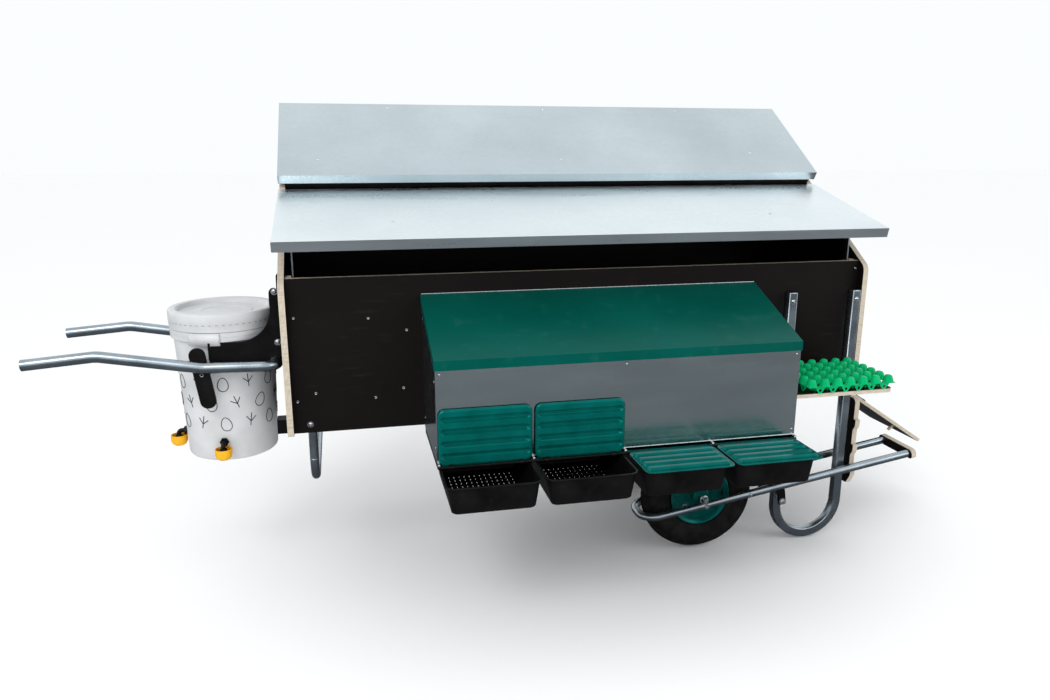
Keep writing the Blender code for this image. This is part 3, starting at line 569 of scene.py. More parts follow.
def house():
    """Ply walls with softened edges, their screws, and the roof's purlin."""
    paint(FILM_Y, "front_wall", "rear_wall", rounding=0.0008)
    paint(FILM_X, "left_end_wall", "right_end_wall", rounding=0.0012)
    paint(FILM_Z, "floor_board", "shelf", rounding=0.001)
    paint(BLACK_PAINT, "purlin_front", rounding=0.0015)
    spots = [(0.019, 0.354), (0.015, 0.099), (0.233, 0.345), (0.345, 0.304), (0.069, 0.122), (0.245, 0.098),
             (0.33, 0.123), (INSIDE - 0.012, 0.445)]
    holes = [((x, WALL_FACE, z), FRONT) for x, z in spots]
    fasteners("front_wall_screws", holes, screw_head(0.0042), steps=16)
    fasteners("front_wall_leg_bolt", [((0.048, WALL_FACE, 0.026), FRONT)], button_head(0.0068))
    back = local("rear_wall", high).y
    columns = (0.02, 0.48, 0.94, 1.4, INSIDE - 0.02)
    rear = [((x, back, z), (0, 1, 0)) for x in columns for z in (0.04, 0.45, 0.9)]
    fasteners("rear_wall_screws", rear, screw_head(0.0042), steps=16)
    ends = []
    for x, way in ((-PLY, OUT_LEFT), (INSIDE + PLY, OUT_RIGHT)):
        ends += [((x, y, 0.009), way) for y in (0.14, 0.36, 0.58)]
        ends += [((x, 0.039, z), way) for z in (0.11, 0.41)]
        ends += [((x, DEPTH - 0.039, z), way) for z in (0.06, 0.45, 0.84)]
    fasteners("end_wall_screws", ends, screw_head(0.0042), steps=16)


def roof():
    """Zinc panels with their screws, folded corners and the hinge between them, and the two props."""
    paint(ROOF_ZINC, "roof_rear_panel", rounding=0.0009)
    # The front panel takes the lighter copy of the roof zinc as painted light; its folded corners keep the
    # roof zinc.
    paint(LIT_FRONT_PANEL_ZINC, "roof_front_panel", rounding=0.0009)
    paint(TUBE_ZINC, "roof_hinge_barrel", "prop_left", "prop_right")
    paint(STEEL, "roof_hinge_rod")
    rear_top, front_top = 0.048, 0.0083
    rear = ((0.107, 0.553), (0.355, 0.874), (0.93, 0.553), (0.93, 0.874), (1.457, 0.874), (1.664, 0.59))
    screws = [((x, y, rear_top), UP) for x, y in rear]
    fasteners("rear_panel_screws", screws, button_head(0.0042), "house", ROOF)
    front = ((0.316, -0.327), (1.541, -0.318))
    screws = [((x, y, front_top), UP) for x, y in front]
    fasteners("front_panel_screws", screws, button_head(0.0042), "roof_panel", LIFTED)
    edge, overhang, fold = -0.4733, 0.0211, 0.0012
    flap = rectangle((edge + 0.0015, front_top - 0.0295), (edge + 0.024, front_top - 0.0015))
    for side, x in (("left", -overhang), ("right", INSIDE + overhang)):
        board("front_panel_fold_" + side, "YZ", [rounded(flap, 0.002, 4)], x, fold, 0.0003, ROOF_ZINC,
              "roof_panel", LIFTED)
    leaf = rectangle((0.05, -0.058), (INSIDE - 0.05, -0.012))
    board("front_panel_hinge_leaf", "XY", [rounded(leaf, 0.004, 4)], front_top - 0.0022, 0.0016, 0.0004,
          TUBE_ZINC, "roof_panel", LIFTED)
    for side, way, wall in (("left", 1.0, 0.0), ("right", -1.0, INSIDE)):
        stud = [((local("prop_" + side).x + way * 0.0022, 0.07, 0.612), (way, 0, 0))]
        fasteners("prop_studs_" + side, stud, button_head(0.005), "prop_" + side)
        batten = rounded(rectangle((0.056, 0.34), (0.086, 0.472)), 0.003, 4)
        board("prop_batten_" + side, "YZ", [batten], wall + way * 0.0095, 0.018, 0.001, BARE_PLY)


# ---- nest box ----
def nest_box():
    """Galvanised shell, its rivets and folded edges, the coated lid and the nest floor."""
    paint(NEST_ZINC, "nest_shell", rounding=0.0008)
    paint(GREEN_SHEET, "nest_lid", rounding=0.001)
    paint(BLACK_PLASTIC, "nest_floor", rounding=0.0008)
    (left, front, bottom), right = local("nest_shell", low), local("nest_shell", high).x
    row = [((x, front, 0.246), FRONT) for x in (left + 0.012, (left + right) / 2, right - 0.012)]
    row += [((x, front, 0.012), FRONT) for x in (left + 0.01, right - 0.01)]
    fasteners("nest_rivets", row, button_head(0.003), steps=16)
    sides = []
    for x, way in ((left, OUT_LEFT), (right, OUT_RIGHT)):
        sides += [((x, y, z), way) for y, z in ((-0.26, 0.03), (-0.26, 0.22), (0.01, 0.03), (0.01, 0.34))]
    fasteners("nest_side_rivets", sides, button_head(0.003), steps=16)
    rod = local("tray_hinge_rod")
    strip = rectangle((left + 0.002, rod.y + 0.0038), (right - 0.002, front + 0.001))
    board("lid_hinge_strip", "XY", [strip], rod.z + 0.0006, 0.003, 0.0008, GREEN_PLASTIC)
    hem = [(x, front - 0.0004, bottom + 0.001) for x in (left + 0.001, right - 0.001)]
    tube("nest_lower_hem", hem, 0.0016, STEEL)
    piano = [(left, -0.0005, 0.0004), (right, -0.0005, 0.0004)]
    tube("nest_lid_hinge_rod", piano, 0.0022, STEEL, "nest_lid", NEST_LID)
    lip = [(x, -0.3484, -0.0256) for x in (left - 0.0025, right + 0.0025)]
    tube("nest_lid_hem", lip, 0.0011, GREEN_SHEET, "nest_lid", NEST_LID)


# ---- trays and their lids ----
def rounded_ring(half_x, half_y, radius):
    """Points round a rectangle with arcs at its corners."""
    return rounded(rectangle((-half_x, -half_y), (half_x, half_y)), radius, 6)


def tray_tub(number):
    """A moulded tub: rolled rim, drafted walls, a soft bottom edge and a slotted floor."""
    name = f"tray_{number}"
    lower, upper, middle = low(name), high(name), centre(name)
    half_x, half_y = (upper.x - lower.x) / 2, (upper.y - lower.y) / 2
    deep = upper.z - lower.z
    wall, inset, draft, soft, rim = 0.0025, 0.006, 0.01, 0.01, 0.006
    base_inset = inset + draft
    rolled = [(0.0012, -0.0042), (0.0008, -0.003), (0.0, -0.0012), (0.0006, -0.0003), (0.002, 0.0),
              (inset, -0.0004)]
    outer = [(inset + wall * 0.2, -0.0034)]
    for step in range(7):
        outer.append((inset + draft * step / 6, -rim - (deep - soft - rim) * step / 6))
    turns = [pi / 2 * step / 6 for step in range(1, 7)]
    outer += [(base_inset + soft * (1 - cos(a)), -deep + soft * (1 - sin(a))) for a in turns]
    inner = [(x + wall, z if z > -deep + soft else z + wall) for x, z in outer[1:]]
    bm = bmesh.new()
    rings = []
    for shift, height in outer[::-1] + rolled + inner:
        ring = rounded_ring(half_x - shift, half_y - shift, max(0.03 - shift, 0.014))
        ring = [bm.verts.new((point.x, point.y, height)) for point in ring]
        rings.append(ring + ring[:1])
    fill_grid(bm, rings)
    place = Matrix.Translation(Vector((middle.x, middle.y, upper.z)))
    from_bmesh(name + "_tub", bm, BLACK_PLASTIC, name, place, [name], 50.0)

    edge = base_inset + soft - 0.0004
    outlines = [rounded_ring(half_x - edge, half_y - edge, 0.014)]
    columns, rows, column_pitch, row_pitch = 13, 10, 0.015, 0.024
    half_wide, half_long = 0.0009, 0.0065
    for column in range(columns):
        for row in range(rows):
            x, y = (column - (columns - 1) / 2) * column_pitch, (row - (rows - 1) / 2) * row_pitch
            slot = rectangle((x - half_wide, y - half_long), (x + half_wide, y + half_long))
            outlines.append(rounded(slot, 0.0008, 3))
    place = Matrix.Translation(Vector((middle.x, middle.y, lower.z + 0.0013)))
    board(name + "_floor", "XY", outlines, 0.0, 0.0022, 0.0002, BLACK_PLASTIC, name, place)


def round_corner(x, y, half_x, half_y, radius):
    """Move a point of a rectangular grid so that the grid's corners are round."""
    over_x, over_y = abs(x) - (half_x - radius), abs(y) - (half_y - radius)
    if over_x <= 0.0 or over_y <= 0.0:
        return x, y
    scale = max(over_x, over_y) / hypot(over_x, over_y)
    return (copysign(half_x - radius + over_x * scale, x), copysign(half_y - radius + over_y * scale, y))


def soft_step(value):
    """0 below 0, 1 above 1 and smooth between."""
    value = min(max(value, 0.0), 1.0)
    return value * value * (3.0 - 2.0 * value)


def tray_lid(number):
    """A pressed lid: raised bands with round ends inside a rim, and its hinge loops."""
    name = f"tray_lid_{number}"
    half_x = (high(name).x - low(name).x) / 2
    opened = high(name).z - low(name).z > 0.05
    place = placed(joint_at(name + "_hinge"), -LID_LEAN if opened else 0.0)
    length, hinge_gap, bottom, thick = 0.165, 0.0045, -0.0037, 0.0024
    half_y, middle_y = (length - hinge_gap) / 2, -(length + hinge_gap) / 2
    ribs, rib_half, pitch, rise, rib_edge = 4, 0.0085, 0.0345, 0.0085, 0.0026
    rim, rim_rise, corner = 0.009, 0.003, 0.02
    columns, rows = 72, 96
    bm = bmesh.new()
    grid = []
    for row in range(rows + 1):
        line = []
        for column in range(columns + 1):
            x = -half_x + 2 * half_x * column / columns
            y = -half_y + 2 * half_y * row / rows
            rib = min(max(round(y / pitch + (ribs - 1) / 2), 0), ribs - 1)
            reach_x = max(abs(x) - (half_x - rim - rib_half), 0.0)
            inside = rib_half - hypot(reach_x, y - (rib - (ribs - 1) / 2) * pitch)
            outside = min(half_x - abs(x), half_y - abs(y))
            height = rise * soft_step(inside / rib_edge)
            height += rim_rise * soft_step(1.0 - (outside - 0.0015) / 0.0035)
            round_x, round_y = round_corner(x, y, half_x, half_y, corner)
            line.append(bm.verts.new((round_x, round_y + middle_y, bottom + thick + height)))
        grid.append(line)
    fill_grid(bm, grid)
    thicken(from_bmesh(name + "_shell", bm, GREEN_PLASTIC, name, place, [name], 60.0), thick, -1.0)
    bm = bmesh.new()
    ring = [(0.0052, 0.006), (0.0052, -0.006), (0.0038, -0.006), (0.0038, 0.006)]
    for x in (-0.75 * half_x, 0.75 * half_x):
        lathe(bm, ring, facing((x, 0.0, 0.0), (1, 0, 0)), 24, True)
        add_box(bm, (0.012, 0.006, 0.002), (x, -0.0072, -0.002))
    from_bmesh(name + "_loops", bm, BLACK_PLASTIC, name, place)


def trays():
    """All trays and lids, with the hinge rod and its brackets under the nest box."""
    for number in range(1, 5):
        tray_tub(number)
        tray_lid(number)
    paint(BLACK_PAINT, "tray_hinge_rod")
    rod = local("tray_hinge_rod")
    left, right = local("tray_hinge_rod", low).x, local("tray_hinge_rod", high).x
    bm = bmesh.new()
    for step in range(5):
        x = min(max(left + (right - left) * step / 4, left + 0.004), right - 0.004)
        add_box(bm, (0.0055, 0.015, 0.012), (x, rod.y + 0.0068, rod.z + 0.0052))
        lathe(bm, button_head(0.0032), facing((x, rod.y - 0.0015, rod.z + 0.0078), FRONT), 16)
    from_bmesh("tray_rod_brackets", bm, STEEL, smooth=30.0)


# ---- egg tray ----
EGG_COLUMNS, EGG_ROWS = 6, 5
STEPS_PER_CUP, RIM_STEPS = 16, 6


def egg_tray_feet(place, wide, deep, web):
    """A row of V-shaped feet, each with an opening, below each edge of the egg tray."""
    inset, foot_wall, bead = 0.0022, 0.0018, 0.0042
    for label, plane, count, length, reach in (("long", "XZ", EGG_COLUMNS, wide, deep),
                                               ("short", "YZ", EGG_ROWS, deep, wide)):
        pitch = length * STEPS_PER_CUP / (count * STEPS_PER_CUP + 2 * RIM_STEPS)
        feet = []
        for index in range(count):
            middle = (index + 0.5 + RIM_STEPS / STEPS_PER_CUP) * pitch
            foot = ((-0.017, web), (-0.005, 0.0008), (0.005, 0.0008), (0.017, web))
            feet.append(rounded([Vector((middle + x, z)) for x, z in foot], [0.0, 0.004, 0.004, 0.0], 4))
            hole = rectangle((middle - bead, 0.3 * web), (middle + bead, 0.78 * web))
            feet.append(rounded(hole, 0.004, 4))
        for number, edge in enumerate((inset, reach - inset)):
            board(f"egg_tray_feet_{label}_{number + 1}", plane, feet, edge, foot_wall, 0.0004, EGG_GREEN,
                  "egg_tray", place)


def egg_tray():
    """A moulded 30-egg tray: open-sided cups between rounded posts, a flat rim and V-shaped feet below it."""
    lower, upper, wall = low("egg_tray"), high("egg_tray"), 0.0016
    wide, deep, tall = upper.x - lower.x, upper.y - lower.y, upper.z - lower.z - wall
    across = EGG_COLUMNS * STEPS_PER_CUP + 2 * RIM_STEPS
    along = EGG_ROWS * STEPS_PER_CUP + 2 * RIM_STEPS
    web, post_radius, foot_radius, cup_slope = 0.46 * tall, 0.014, 0.008, 0.013

    def offsets(step, count):
        """How far a grid line lies from its nearest post and from its nearest cup, in pitches."""
        place = (step - RIM_STEPS) / STEPS_PER_CUP
        post = min(max(round(place), 0), count)
        cup = min(max(floor(place), 0), count - 1) + 0.5
        return place - post, place - cup

    def is_window(row, column):
        """Whether a face is one of a cup's four openings."""
        u, v = offsets(column + 0.5, EGG_COLUMNS)[1], offsets(row + 0.5, EGG_ROWS)[1]
        return 0.2 < hypot(u, v) < 0.42 and min(abs(u), abs(v)) < 0.1

    pitch_x, pitch_y = wide * STEPS_PER_CUP / across, deep * STEPS_PER_CUP / along
    bm = bmesh.new()
    grid = []
    for row in range(along + 1):
        line = []
        for column in range(across + 1):
            (post_x, cup_x), (post_y, cup_y) = offsets(column, EGG_COLUMNS), offsets(row, EGG_ROWS)
            to_post = hypot(post_x * pitch_x, post_y * pitch_y)
            to_foot = hypot(cup_x * pitch_x, cup_y * pitch_y)
            dome = max(1.0 - (to_post / post_radius) ** 4.0, 0.0) ** 0.5
            cup = soft_step(1.0 - (to_foot - foot_radius) / cup_slope)
            height = web + (tall - web) * dome - web * cup
            line.append(bm.verts.new((wide * column / across, deep * row / along, height)))
        grid.append(line)
    fill_grid(bm, grid, is_window)
    bmesh.ops.delete(bm, geom=[vert for vert in bm.verts if not vert.link_faces], context="VERTS")
    place = Matrix.Translation(lower)
    piece = from_bmesh("egg_tray_moulding", bm, EGG_GREEN, "egg_tray", place, ["egg_tray"], 180.0)
    smooth = piece.modifiers.new("soft", "SUBSURF")
    smooth.levels = 1
    smooth.render_levels = 1
    thicken(piece, wall, 1.0)
    egg_tray_feet(place, wide, deep, web)


# ---- legs and wheels ----
def leg_loop(name, outward):
    """Square tube bent to a loop, with rounded corners, and the bolts that hold it."""
    half, steps = 0.015, 48
    lower, upper = local(name, low), local(name, high)
    left, right, top = lower.x + half, upper.x - half, upper.z
    radius = (right - left) / 2
    level = lower.z + half + radius
    outline = [Vector((left - half, top)), Vector((left + half, top))]
    for reach, order in ((radius - half, range(steps + 1)), (radius + half, reversed(range(steps + 1)))):
        for step in order:
            turn = pi * (1 + step / steps)
            outline.append(Vector(((left + right) / 2 + reach * cos(turn), level + reach * sin(turn))))
        if reach < radius:
            outline += [Vector((right - half, top)), Vector((right + half, top))]
    depth, middle = upper.y - lower.y, local(name).y
    board(name + "_tube", "XZ", [outline], middle, depth, 0.0035, TUBE_ZINC, stands_for=[name])
    face = middle + outward * (depth / 2)
    spots = [((x, face, z), (0, outward, 0)) for x in (left, right) for z in (top - 0.03, 0.06)]
    fasteners(name + "_bolts", spots, button_head(0.0065))
    caps = bmesh.new()
    for x in (left, right):
        add_box(caps, (0.0235, 0.0235, 0.0012), (x, middle, top))
    from_bmesh(name + "_end_caps", caps, BLACK_PLASTIC)


def rack(name, middle, outward):
    """Toothed ply rack: rounded scallops with level ledges on both edges."""
    ledges, pitch, tip, root = 3, 0.0915, 0.0558, 0.045
    lowest, shoulder = -0.2644, -0.008
    front, back = [(-0.035, -0.322)], [(tip, -0.322)]
    radii = [0.01]
    for ledge in range(ledges):
        level = lowest + pitch * ledge
        if ledge:
            front.append((-root, level - pitch))
            back.append((root, level - pitch))
            front.append((-root, level - 0.04))
            back.append((root, level - 0.04))
            radii += [0.003, 0.02]
        front.append((-tip, level - 0.022))
        front.append((-tip, level))
        back.append((tip, level - 0.022))
        back.append((tip, level))
        radii += [0.014, 0.003]
    last = lowest + pitch * (ledges - 1)
    front += [(-root, last), (-root, shoulder), (-0.01, shoulder), (-0.01, 0.09)]
    back += [(root, last), (root, 0.09)]
    front_radii = radii + [0.003, 0.016, 0.0, 0.003]
    back_radii = radii + [0.003, 0.003]
    points = [Vector((middle + outward * y, z)) for y, z in front + back[::-1]]
    outline = rounded(points, front_radii + back_radii[::-1], 6)
    x = local(name).x
    board(name + "_board", "YZ", [outline], x, PLY, 0.0008, FILM_Z, stands_for=[name])
    spots = [((x + PLY / 2, middle + outward * 0.016, z), OUT_RIGHT) for z in (0.02, 0.07)]
    fasteners(name + "_screws", spots, screw_head(0.0048))


def mirrored(profile):
    """The other side of a symmetrical profile, in reverse order."""
    return [(radius, -height) for radius, height in reversed(profile)]


def wheel(side, body, axle):
    """Pneumatic barrow wheel: ribbed tyre on a stepped two-part rim with a hub and a valve."""
    place = placed(axle, -pi / 2)
    half = 0.045
    section = [(0.1085, 0.033), (0.112, 0.0375), (0.125, 0.0418), (0.127, 0.0412), (0.129, 0.0425),
               (0.144, half), (0.162, 0.0442), (0.174, 0.0408), (0.181, 0.0368), (0.1822, 0.034),
               (0.1862, 0.033), (0.1915, 0.025), (0.19, 0.0225), (0.1938, 0.0205), (0.1966, 0.013),
               (0.194, 0.0108), (0.1976, 0.0088), (0.1985, 0.004), (0.195, 0.002), (0.195, 0.0)]
    bead = [(0.104, -0.029), (0.101, -0.02), (0.101, 0.02), (0.104, 0.029)]
    bm = bmesh.new()
    lathe(bm, section + mirrored(section[:-1]) + bead, None, 96, True)
    from_bmesh(f"tyre_{side}_ribbed", bm, RUBBER, body, place, [f"tyre_{side}"], 30.0)

    flange = [(0.0084, 0.05), (0.025, 0.05), (0.0285, 0.047), (0.0285, 0.016), (0.033, 0.0125),
              (0.048, 0.011), (0.054, 0.015), (0.076, 0.016), (0.082, 0.021), (0.09, 0.0265), (0.096, 0.035),
              (0.103, 0.0385), (0.106, 0.0375), (0.105, 0.0345), (0.099, 0.032), (0.0985, 0.02)]
    bm = bmesh.new()
    lathe(bm, flange + mirrored(flange), None, 72, True)
    from_bmesh(f"wheel_rim_{side}_pressed", bm, RIM_PAINT, body, place, [f"wheel_rim_{side}"], 35.0)
    reach, level = 0.0645, 0.016
    turns = [pi / 4 + pi / 2 * index for index in range(4)]
    nuts = [((reach * cos(turn), reach * sin(turn), way * level), (0, 0, way))
            for way in (1.0, -1.0) for turn in turns]
    hex_bolt(f"rim_{side}_nuts", nuts, 0.01, body, place)
    stem = [(0.088, 0.0, -0.02), (0.08, 0.0, -0.04), (0.074, 0.0, -0.048)]
    tube(f"valve_stem_{side}", stem, 0.003, BLACK_PLASTIC, body, place)


def wheel_unit(side, outward, end):
    """Wheel frame up to its open end, its foot bar, brackets and bolts, and the wheel."""
    body = "wheel_frame_" + side
    pivot = joint_at(f"wheel_frame_{side}_pivot")
    place = placed(pivot, -FRAME_TILT, "Y")
    half, rise, start, bend, radius = 0.07, 0.057, -0.499, 0.058, 0.0135
    corners = [(end, -half, rise), (start, -half, rise), (start, half, rise), (end, half, rise)]
    tube(f"wheel_frame_{side}_tube", bent_path(corners, [bend, bend], 20), radius, TUBE_ZINC, body,
         place, [f"wheel_frame_{side}"])
    bar = rounded(rectangle((-0.092, rise - 0.0175), (0.092, rise + 0.0175)), 0.0155)
    board(f"foot_bar_{side}_board", "YZ", [bar], end + 0.0093, 0.018, 0.0008, FILM_Z, body, place,
          [f"foot_bar_{side}"])
    spots = [((end + 0.0183, y, rise), OUT_RIGHT) for y in (-half, half)]
    fasteners(f"foot_bar_{side}_screws", spots, button_head(0.0055), body, place)
    clip = rounded(rectangle((-0.013, -0.013), (0.013, rise - radius - 0.0003)), [0.006, 0.006, 0.0, 0.0])
    for label, way in (("outer", -outward), ("inner", outward)):
        node_name = f"frame_bracket_{side}_{label}"
        board(node_name + "_clip", "XZ", [clip], way * half, 0.012, 0.0012, BLACK_PAINT, body, place,
              [node_name])
        nut = [((0.0, way * (half + 0.0062), 0.0), (0, way, 0))]
        hex_bolt(f"pivot_nut_{side}_{label}", nut, 0.013, body, place)
    axle = joint_at(f"wheel_{side}_spin")
    near = place.inverted() @ axle
    grip, crown = 0.0125, near.z + 0.0105
    for label, way in (("near", -1.0), ("far", 1.0)):
        arch = ((-grip, rise), (-grip, crown), (grip, crown), (grip, rise))
        saddle = [(near.x + shift, way * half, z) for shift, z in arch]
        tube(f"axle_clip_{side}_{label}", bent_path(saddle, [0.012, 0.012], 8), 0.0026, STEEL, body, place)
        nut = [((near.x + 0.002, way * (half + radius), rise - 0.001), (0, way, 0))]
        hex_bolt(f"axle_clip_nut_{side}_{label}", nut, 0.009, body, place)
    bolt = [((-0.118, -outward * (half + radius * 0.96), rise + 0.002), (0, -outward, 0.15))]
    fasteners(f"frame_bolt_{side}", bolt, button_head(0.0045), body, place)
    paint(STEEL, f"pivot_bolt_{side}", f"axle_{side}")
    wheel(side, "wheel_" + side, axle)


def left_leg():
    """Round tube loop under the left end."""
    radius, bend, gap = 0.0135, 0.08, 0.0003
    inset = WALL_FACE + PLY + gap + radius
    x, bottom, top = 0.052, -0.175, 0.06
    corners = [(x, inset, top), (x, inset, bottom), (x, DEPTH - inset, bottom), (x, DEPTH - inset, top)]
    tube("left_leg_tube", bent_path(corners, [bend, bend], 20), radius, TUBE_ZINC, "house",
         stands_for=["left_leg_loop"])
    ring = [(0.0134, 0.0012), (0.0141, 0.0), (0.0134, -0.0012)]
    for label, y in (("front", inset), ("rear", DEPTH - inset)):
        turned("left_leg_seam_" + label, ring, TUBE_ZINC, "house", placed(at(x, y, bottom + bend)), steps=32,
               closed=True)


def climbing_ramp():
    """Ply ramp with its edge strip, hinge leaves and a short stay beneath."""
    paint(FILM_RAMP, "ramp_door", rounding=0.001)
    hinge = joint_at("ramp_hinge")
    place = placed(Vector((hinge.x, ORIGIN.y + 0.3, hinge.z)), RAMP_SLOPE, "Y")
    cap = rounded(rectangle((0.04, -0.1485), (0.15, -0.1285)), 0.002, 4)
    board("ramp_edge_strip", "XY", [cap], 0.0075, 0.0026, 0.0006, TUBE_ZINC, "ramp", place)
    end = rounded(rectangle((0.15, -0.149), (0.166, -0.128)), 0.003, 4)
    board("ramp_strip_end", "XY", [end], 0.008, 0.0036, 0.001, BLACK_PLASTIC, "ramp", place)
    stay = [(0.355, -0.12, -0.006), (0.348, -0.12, -0.03)]
    tube("ramp_stay", stay, 0.006, BARE_PLY, "ramp", place)
    for label, y in (("near", -0.1), ("far", 0.1)):
        leaf = rounded(rectangle((-0.001, y - 0.02), (0.046, y + 0.02)), 0.004, 4)
        board("ramp_hinge_leaf_" + label, "XY", [leaf], 0.007, 0.0018, 0.0005, STEEL, "ramp", place)
        spots = [((x, y + shift, 0.0079), UP) for x in (0.018, 0.038) for shift in (-0.011, 0.011)]
        fasteners("ramp_hinge_screws_" + label, spots, screw_head(0.0036), "ramp", place)


# ---- handle and bucket ----
HANDLE_RADIUS = 0.016
HANDLE_Y = (-0.005, 0.4)


def handle():
    """The bent handle tube, with plugged ends and a rim round each."""
    near, far = HANDLE_Y
    along = -PLY - HANDLE_RADIUS - 0.0003
    arm = [(-0.697, 0.262), (-0.51, 0.2765), (-0.235, 0.2275), (along, 0.2225)]
    corners = [(x, near, z) for x, z in arm] + [(x, far, z) for x, z in reversed(arm)]
    tube("handle_bent_tube", bent_path(corners, [0.1, 0.1, 0.042, 0.042, 0.1, 0.1], 16), HANDLE_RADIUS,
         TUBE_ZINC, stands_for=["handle_tube"])
    way = Vector((arm[0][0] - arm[1][0], 0.0, arm[0][1] - arm[1][1])).normalized()
    plug = [(0.0, 0.0002), (0.0125, 0.0002), (0.0132, -0.0004), (0.0132, -0.001), (0.0, -0.001)]
    ring = [(0.0135, 0.0002), (0.016, 0.0), (0.016, -0.001), (0.0135, -0.001)]
    for label, y in (("near", near), ("far", far)):
        end = facing((arm[0][0], y, arm[0][1]), way)
        turned("handle_plug_" + label, plug, BLACK_PLASTIC, "house", HOUSE @ end, steps=40)
        turned("handle_rim_" + label, ring, TUBE_ZINC, "house", HOUSE @ end, steps=40, closed=True)


def bucket_plate(label, outward):
    """Black plate with a hooked upper lug, and its two bolts."""
    name = "bucket_plate_" + label
    collar = 0.2882
    corners = [(-0.225, collar), (-0.225, 0.24), (-0.213, 0.199), (-0.057, 0.199), (-0.055, 0.2405),
               (-0.0185, 0.2405), (-0.0185, 0.43), (-0.03, 0.45), (-0.046, 0.435), (-0.047, 0.395)]
    outline = rounded([Vector(point) for point in corners],
                      [0.003, 0.016, 0.012, 0.01, 0.012, 0.01, 0.006, 0.012, 0.014, 0.0])
    middle = Vector((-0.141, 0.383))
    radius = middle.y - collar
    for step in range(1, 25):
        turn = radians(7.3 - 97.3 * step / 24)
        outline.append(middle + radius * Vector((cos(turn), sin(turn))))
    y = local(name).y
    board(name + "_cut", "XZ", [outline], y, 0.0105, 0.0012, BLACK_PAINT, stands_for=[name])
    spots = [((-0.03, y + outward * 0.0054, z), (0, outward, 0)) for z in (0.433, 0.283)]
    fasteners(name + "_bolts", spots, button_head(0.0072))


def toggle(label, outward):
    """Black toggle bar on its bolt."""
    name = "toggle_" + label
    place = placed(joint_at(f"toggle_{label}_turn"), radians(-8.0), "Y")
    bar = rounded(rectangle((-0.0215, -0.122), (0.0235, 0.06)), 0.0218, 12)
    board(name + "_bar", "XZ", [bar], 0.0, 0.01, 0.0016, BLACK_PLASTIC, name, place, [name])
    where = (0.001, outward * 0.0043, -0.02)
    fasteners(name + "_bolt", [(where, (0, outward, 0))], screw_head(0.0058), name, place)


BUCKET = placed(Vector((centre("bucket").x, centre("bucket").y, ORIGIN.z)))
BUCKET_BASE = local("bucket", low).z
BUCKET_COLLAR, BUCKET_TOP = 0.2885, 0.345
BUCKET_NARROW, BUCKET_WIDE = 0.132, 0.148


def bucket_side(height):
    """The bucket's radius at a height."""
    return BUCKET_NARROW + (BUCKET_WIDE - BUCKET_NARROW) * (height - BUCKET_BASE) / (BUCKET_TOP - BUCKET_BASE)


def on_bucket(turn, height, across, upward):
    """A point just off the bucket's side, moved across and up from a turn and a height."""
    radius = bucket_side(height + upward) + 0.0001
    around = turn + across / radius
    return Vector((radius * cos(around), radius * sin(around), height + upward))


def egg_mark(turn, height, size, tilt):
    """A plain egg outline lying on the bucket's side, as a closed path in the bucket's frame."""
    path = []
    for step in range(28):
        angle = 2 * pi * step / 28
        across = 0.36 * size * sin(angle) * (1.0 - 0.18 * cos(angle))
        upward = 0.5 * size * cos(angle)
        path.append(on_bucket(turn, height, across * cos(tilt) - upward * sin(tilt),
                              across * sin(tilt) + upward * cos(tilt)))
    return path


def foot_mark(turn, height, size, tilt):
    """The strokes of a plain bird's footprint on the bucket's side: three toes and a spur."""
    strokes = []
    for lean, reach in ((-0.75, 0.52), (0.0, 0.62), (0.75, 0.52), (pi, 0.32)):
        lengths = [size * reach * step / 6 for step in range(7)]
        strokes.append([on_bucket(turn, height, along * sin(lean + tilt), along * cos(lean + tilt))
                        for along in lengths])
    return strokes


def bucket_shell():
    """White bucket with a stepped collar and a soft bottom edge."""
    base, collar, wide, wall, soft = BUCKET_BASE, BUCKET_COLLAR, BUCKET_WIDE, 0.0025, 0.01
    outer = [(wide - wall, BUCKET_TOP), (wide, BUCKET_TOP - 0.0005), (wide, collar + 0.0285),
             (0.1535, collar + 0.028), (0.1555, collar + 0.0265), (0.1555, collar + 0.015),
             (0.1548, collar + 0.014), (0.1548, collar + 0.0012), (0.154, collar),
             (bucket_side(collar) + 0.0015, collar), (bucket_side(collar - 0.002), collar - 0.002)]
    outer += [(bucket_side(height), height) for height in (0.24, 0.16, 0.08, 0.0, base + 0.012)]
    turns = [pi / 2 * step / 5 for step in range(1, 6)]
    outer += [(bucket_side(base) - soft * (1 - cos(a)), base + soft * (1 - sin(a))) for a in turns]
    outer += [(0.11, base + 0.0015), (0.0, base + 0.0015)]
    foot = bucket_side(base) - wall
    inner = [(0.0, base + 0.0045), (foot - 0.004, base + 0.0045), (foot, base + 0.01),
             (wide - wall, BUCKET_TOP)]
    bm = bmesh.new()
    lathe(bm, outer, None, 112)
    lathe(bm, inner, None, 112)
    weld(bm)
    from_bmesh("bucket_shell", bm, WHITE_PLASTIC, "bucket", BUCKET, ["bucket"], 30.0)


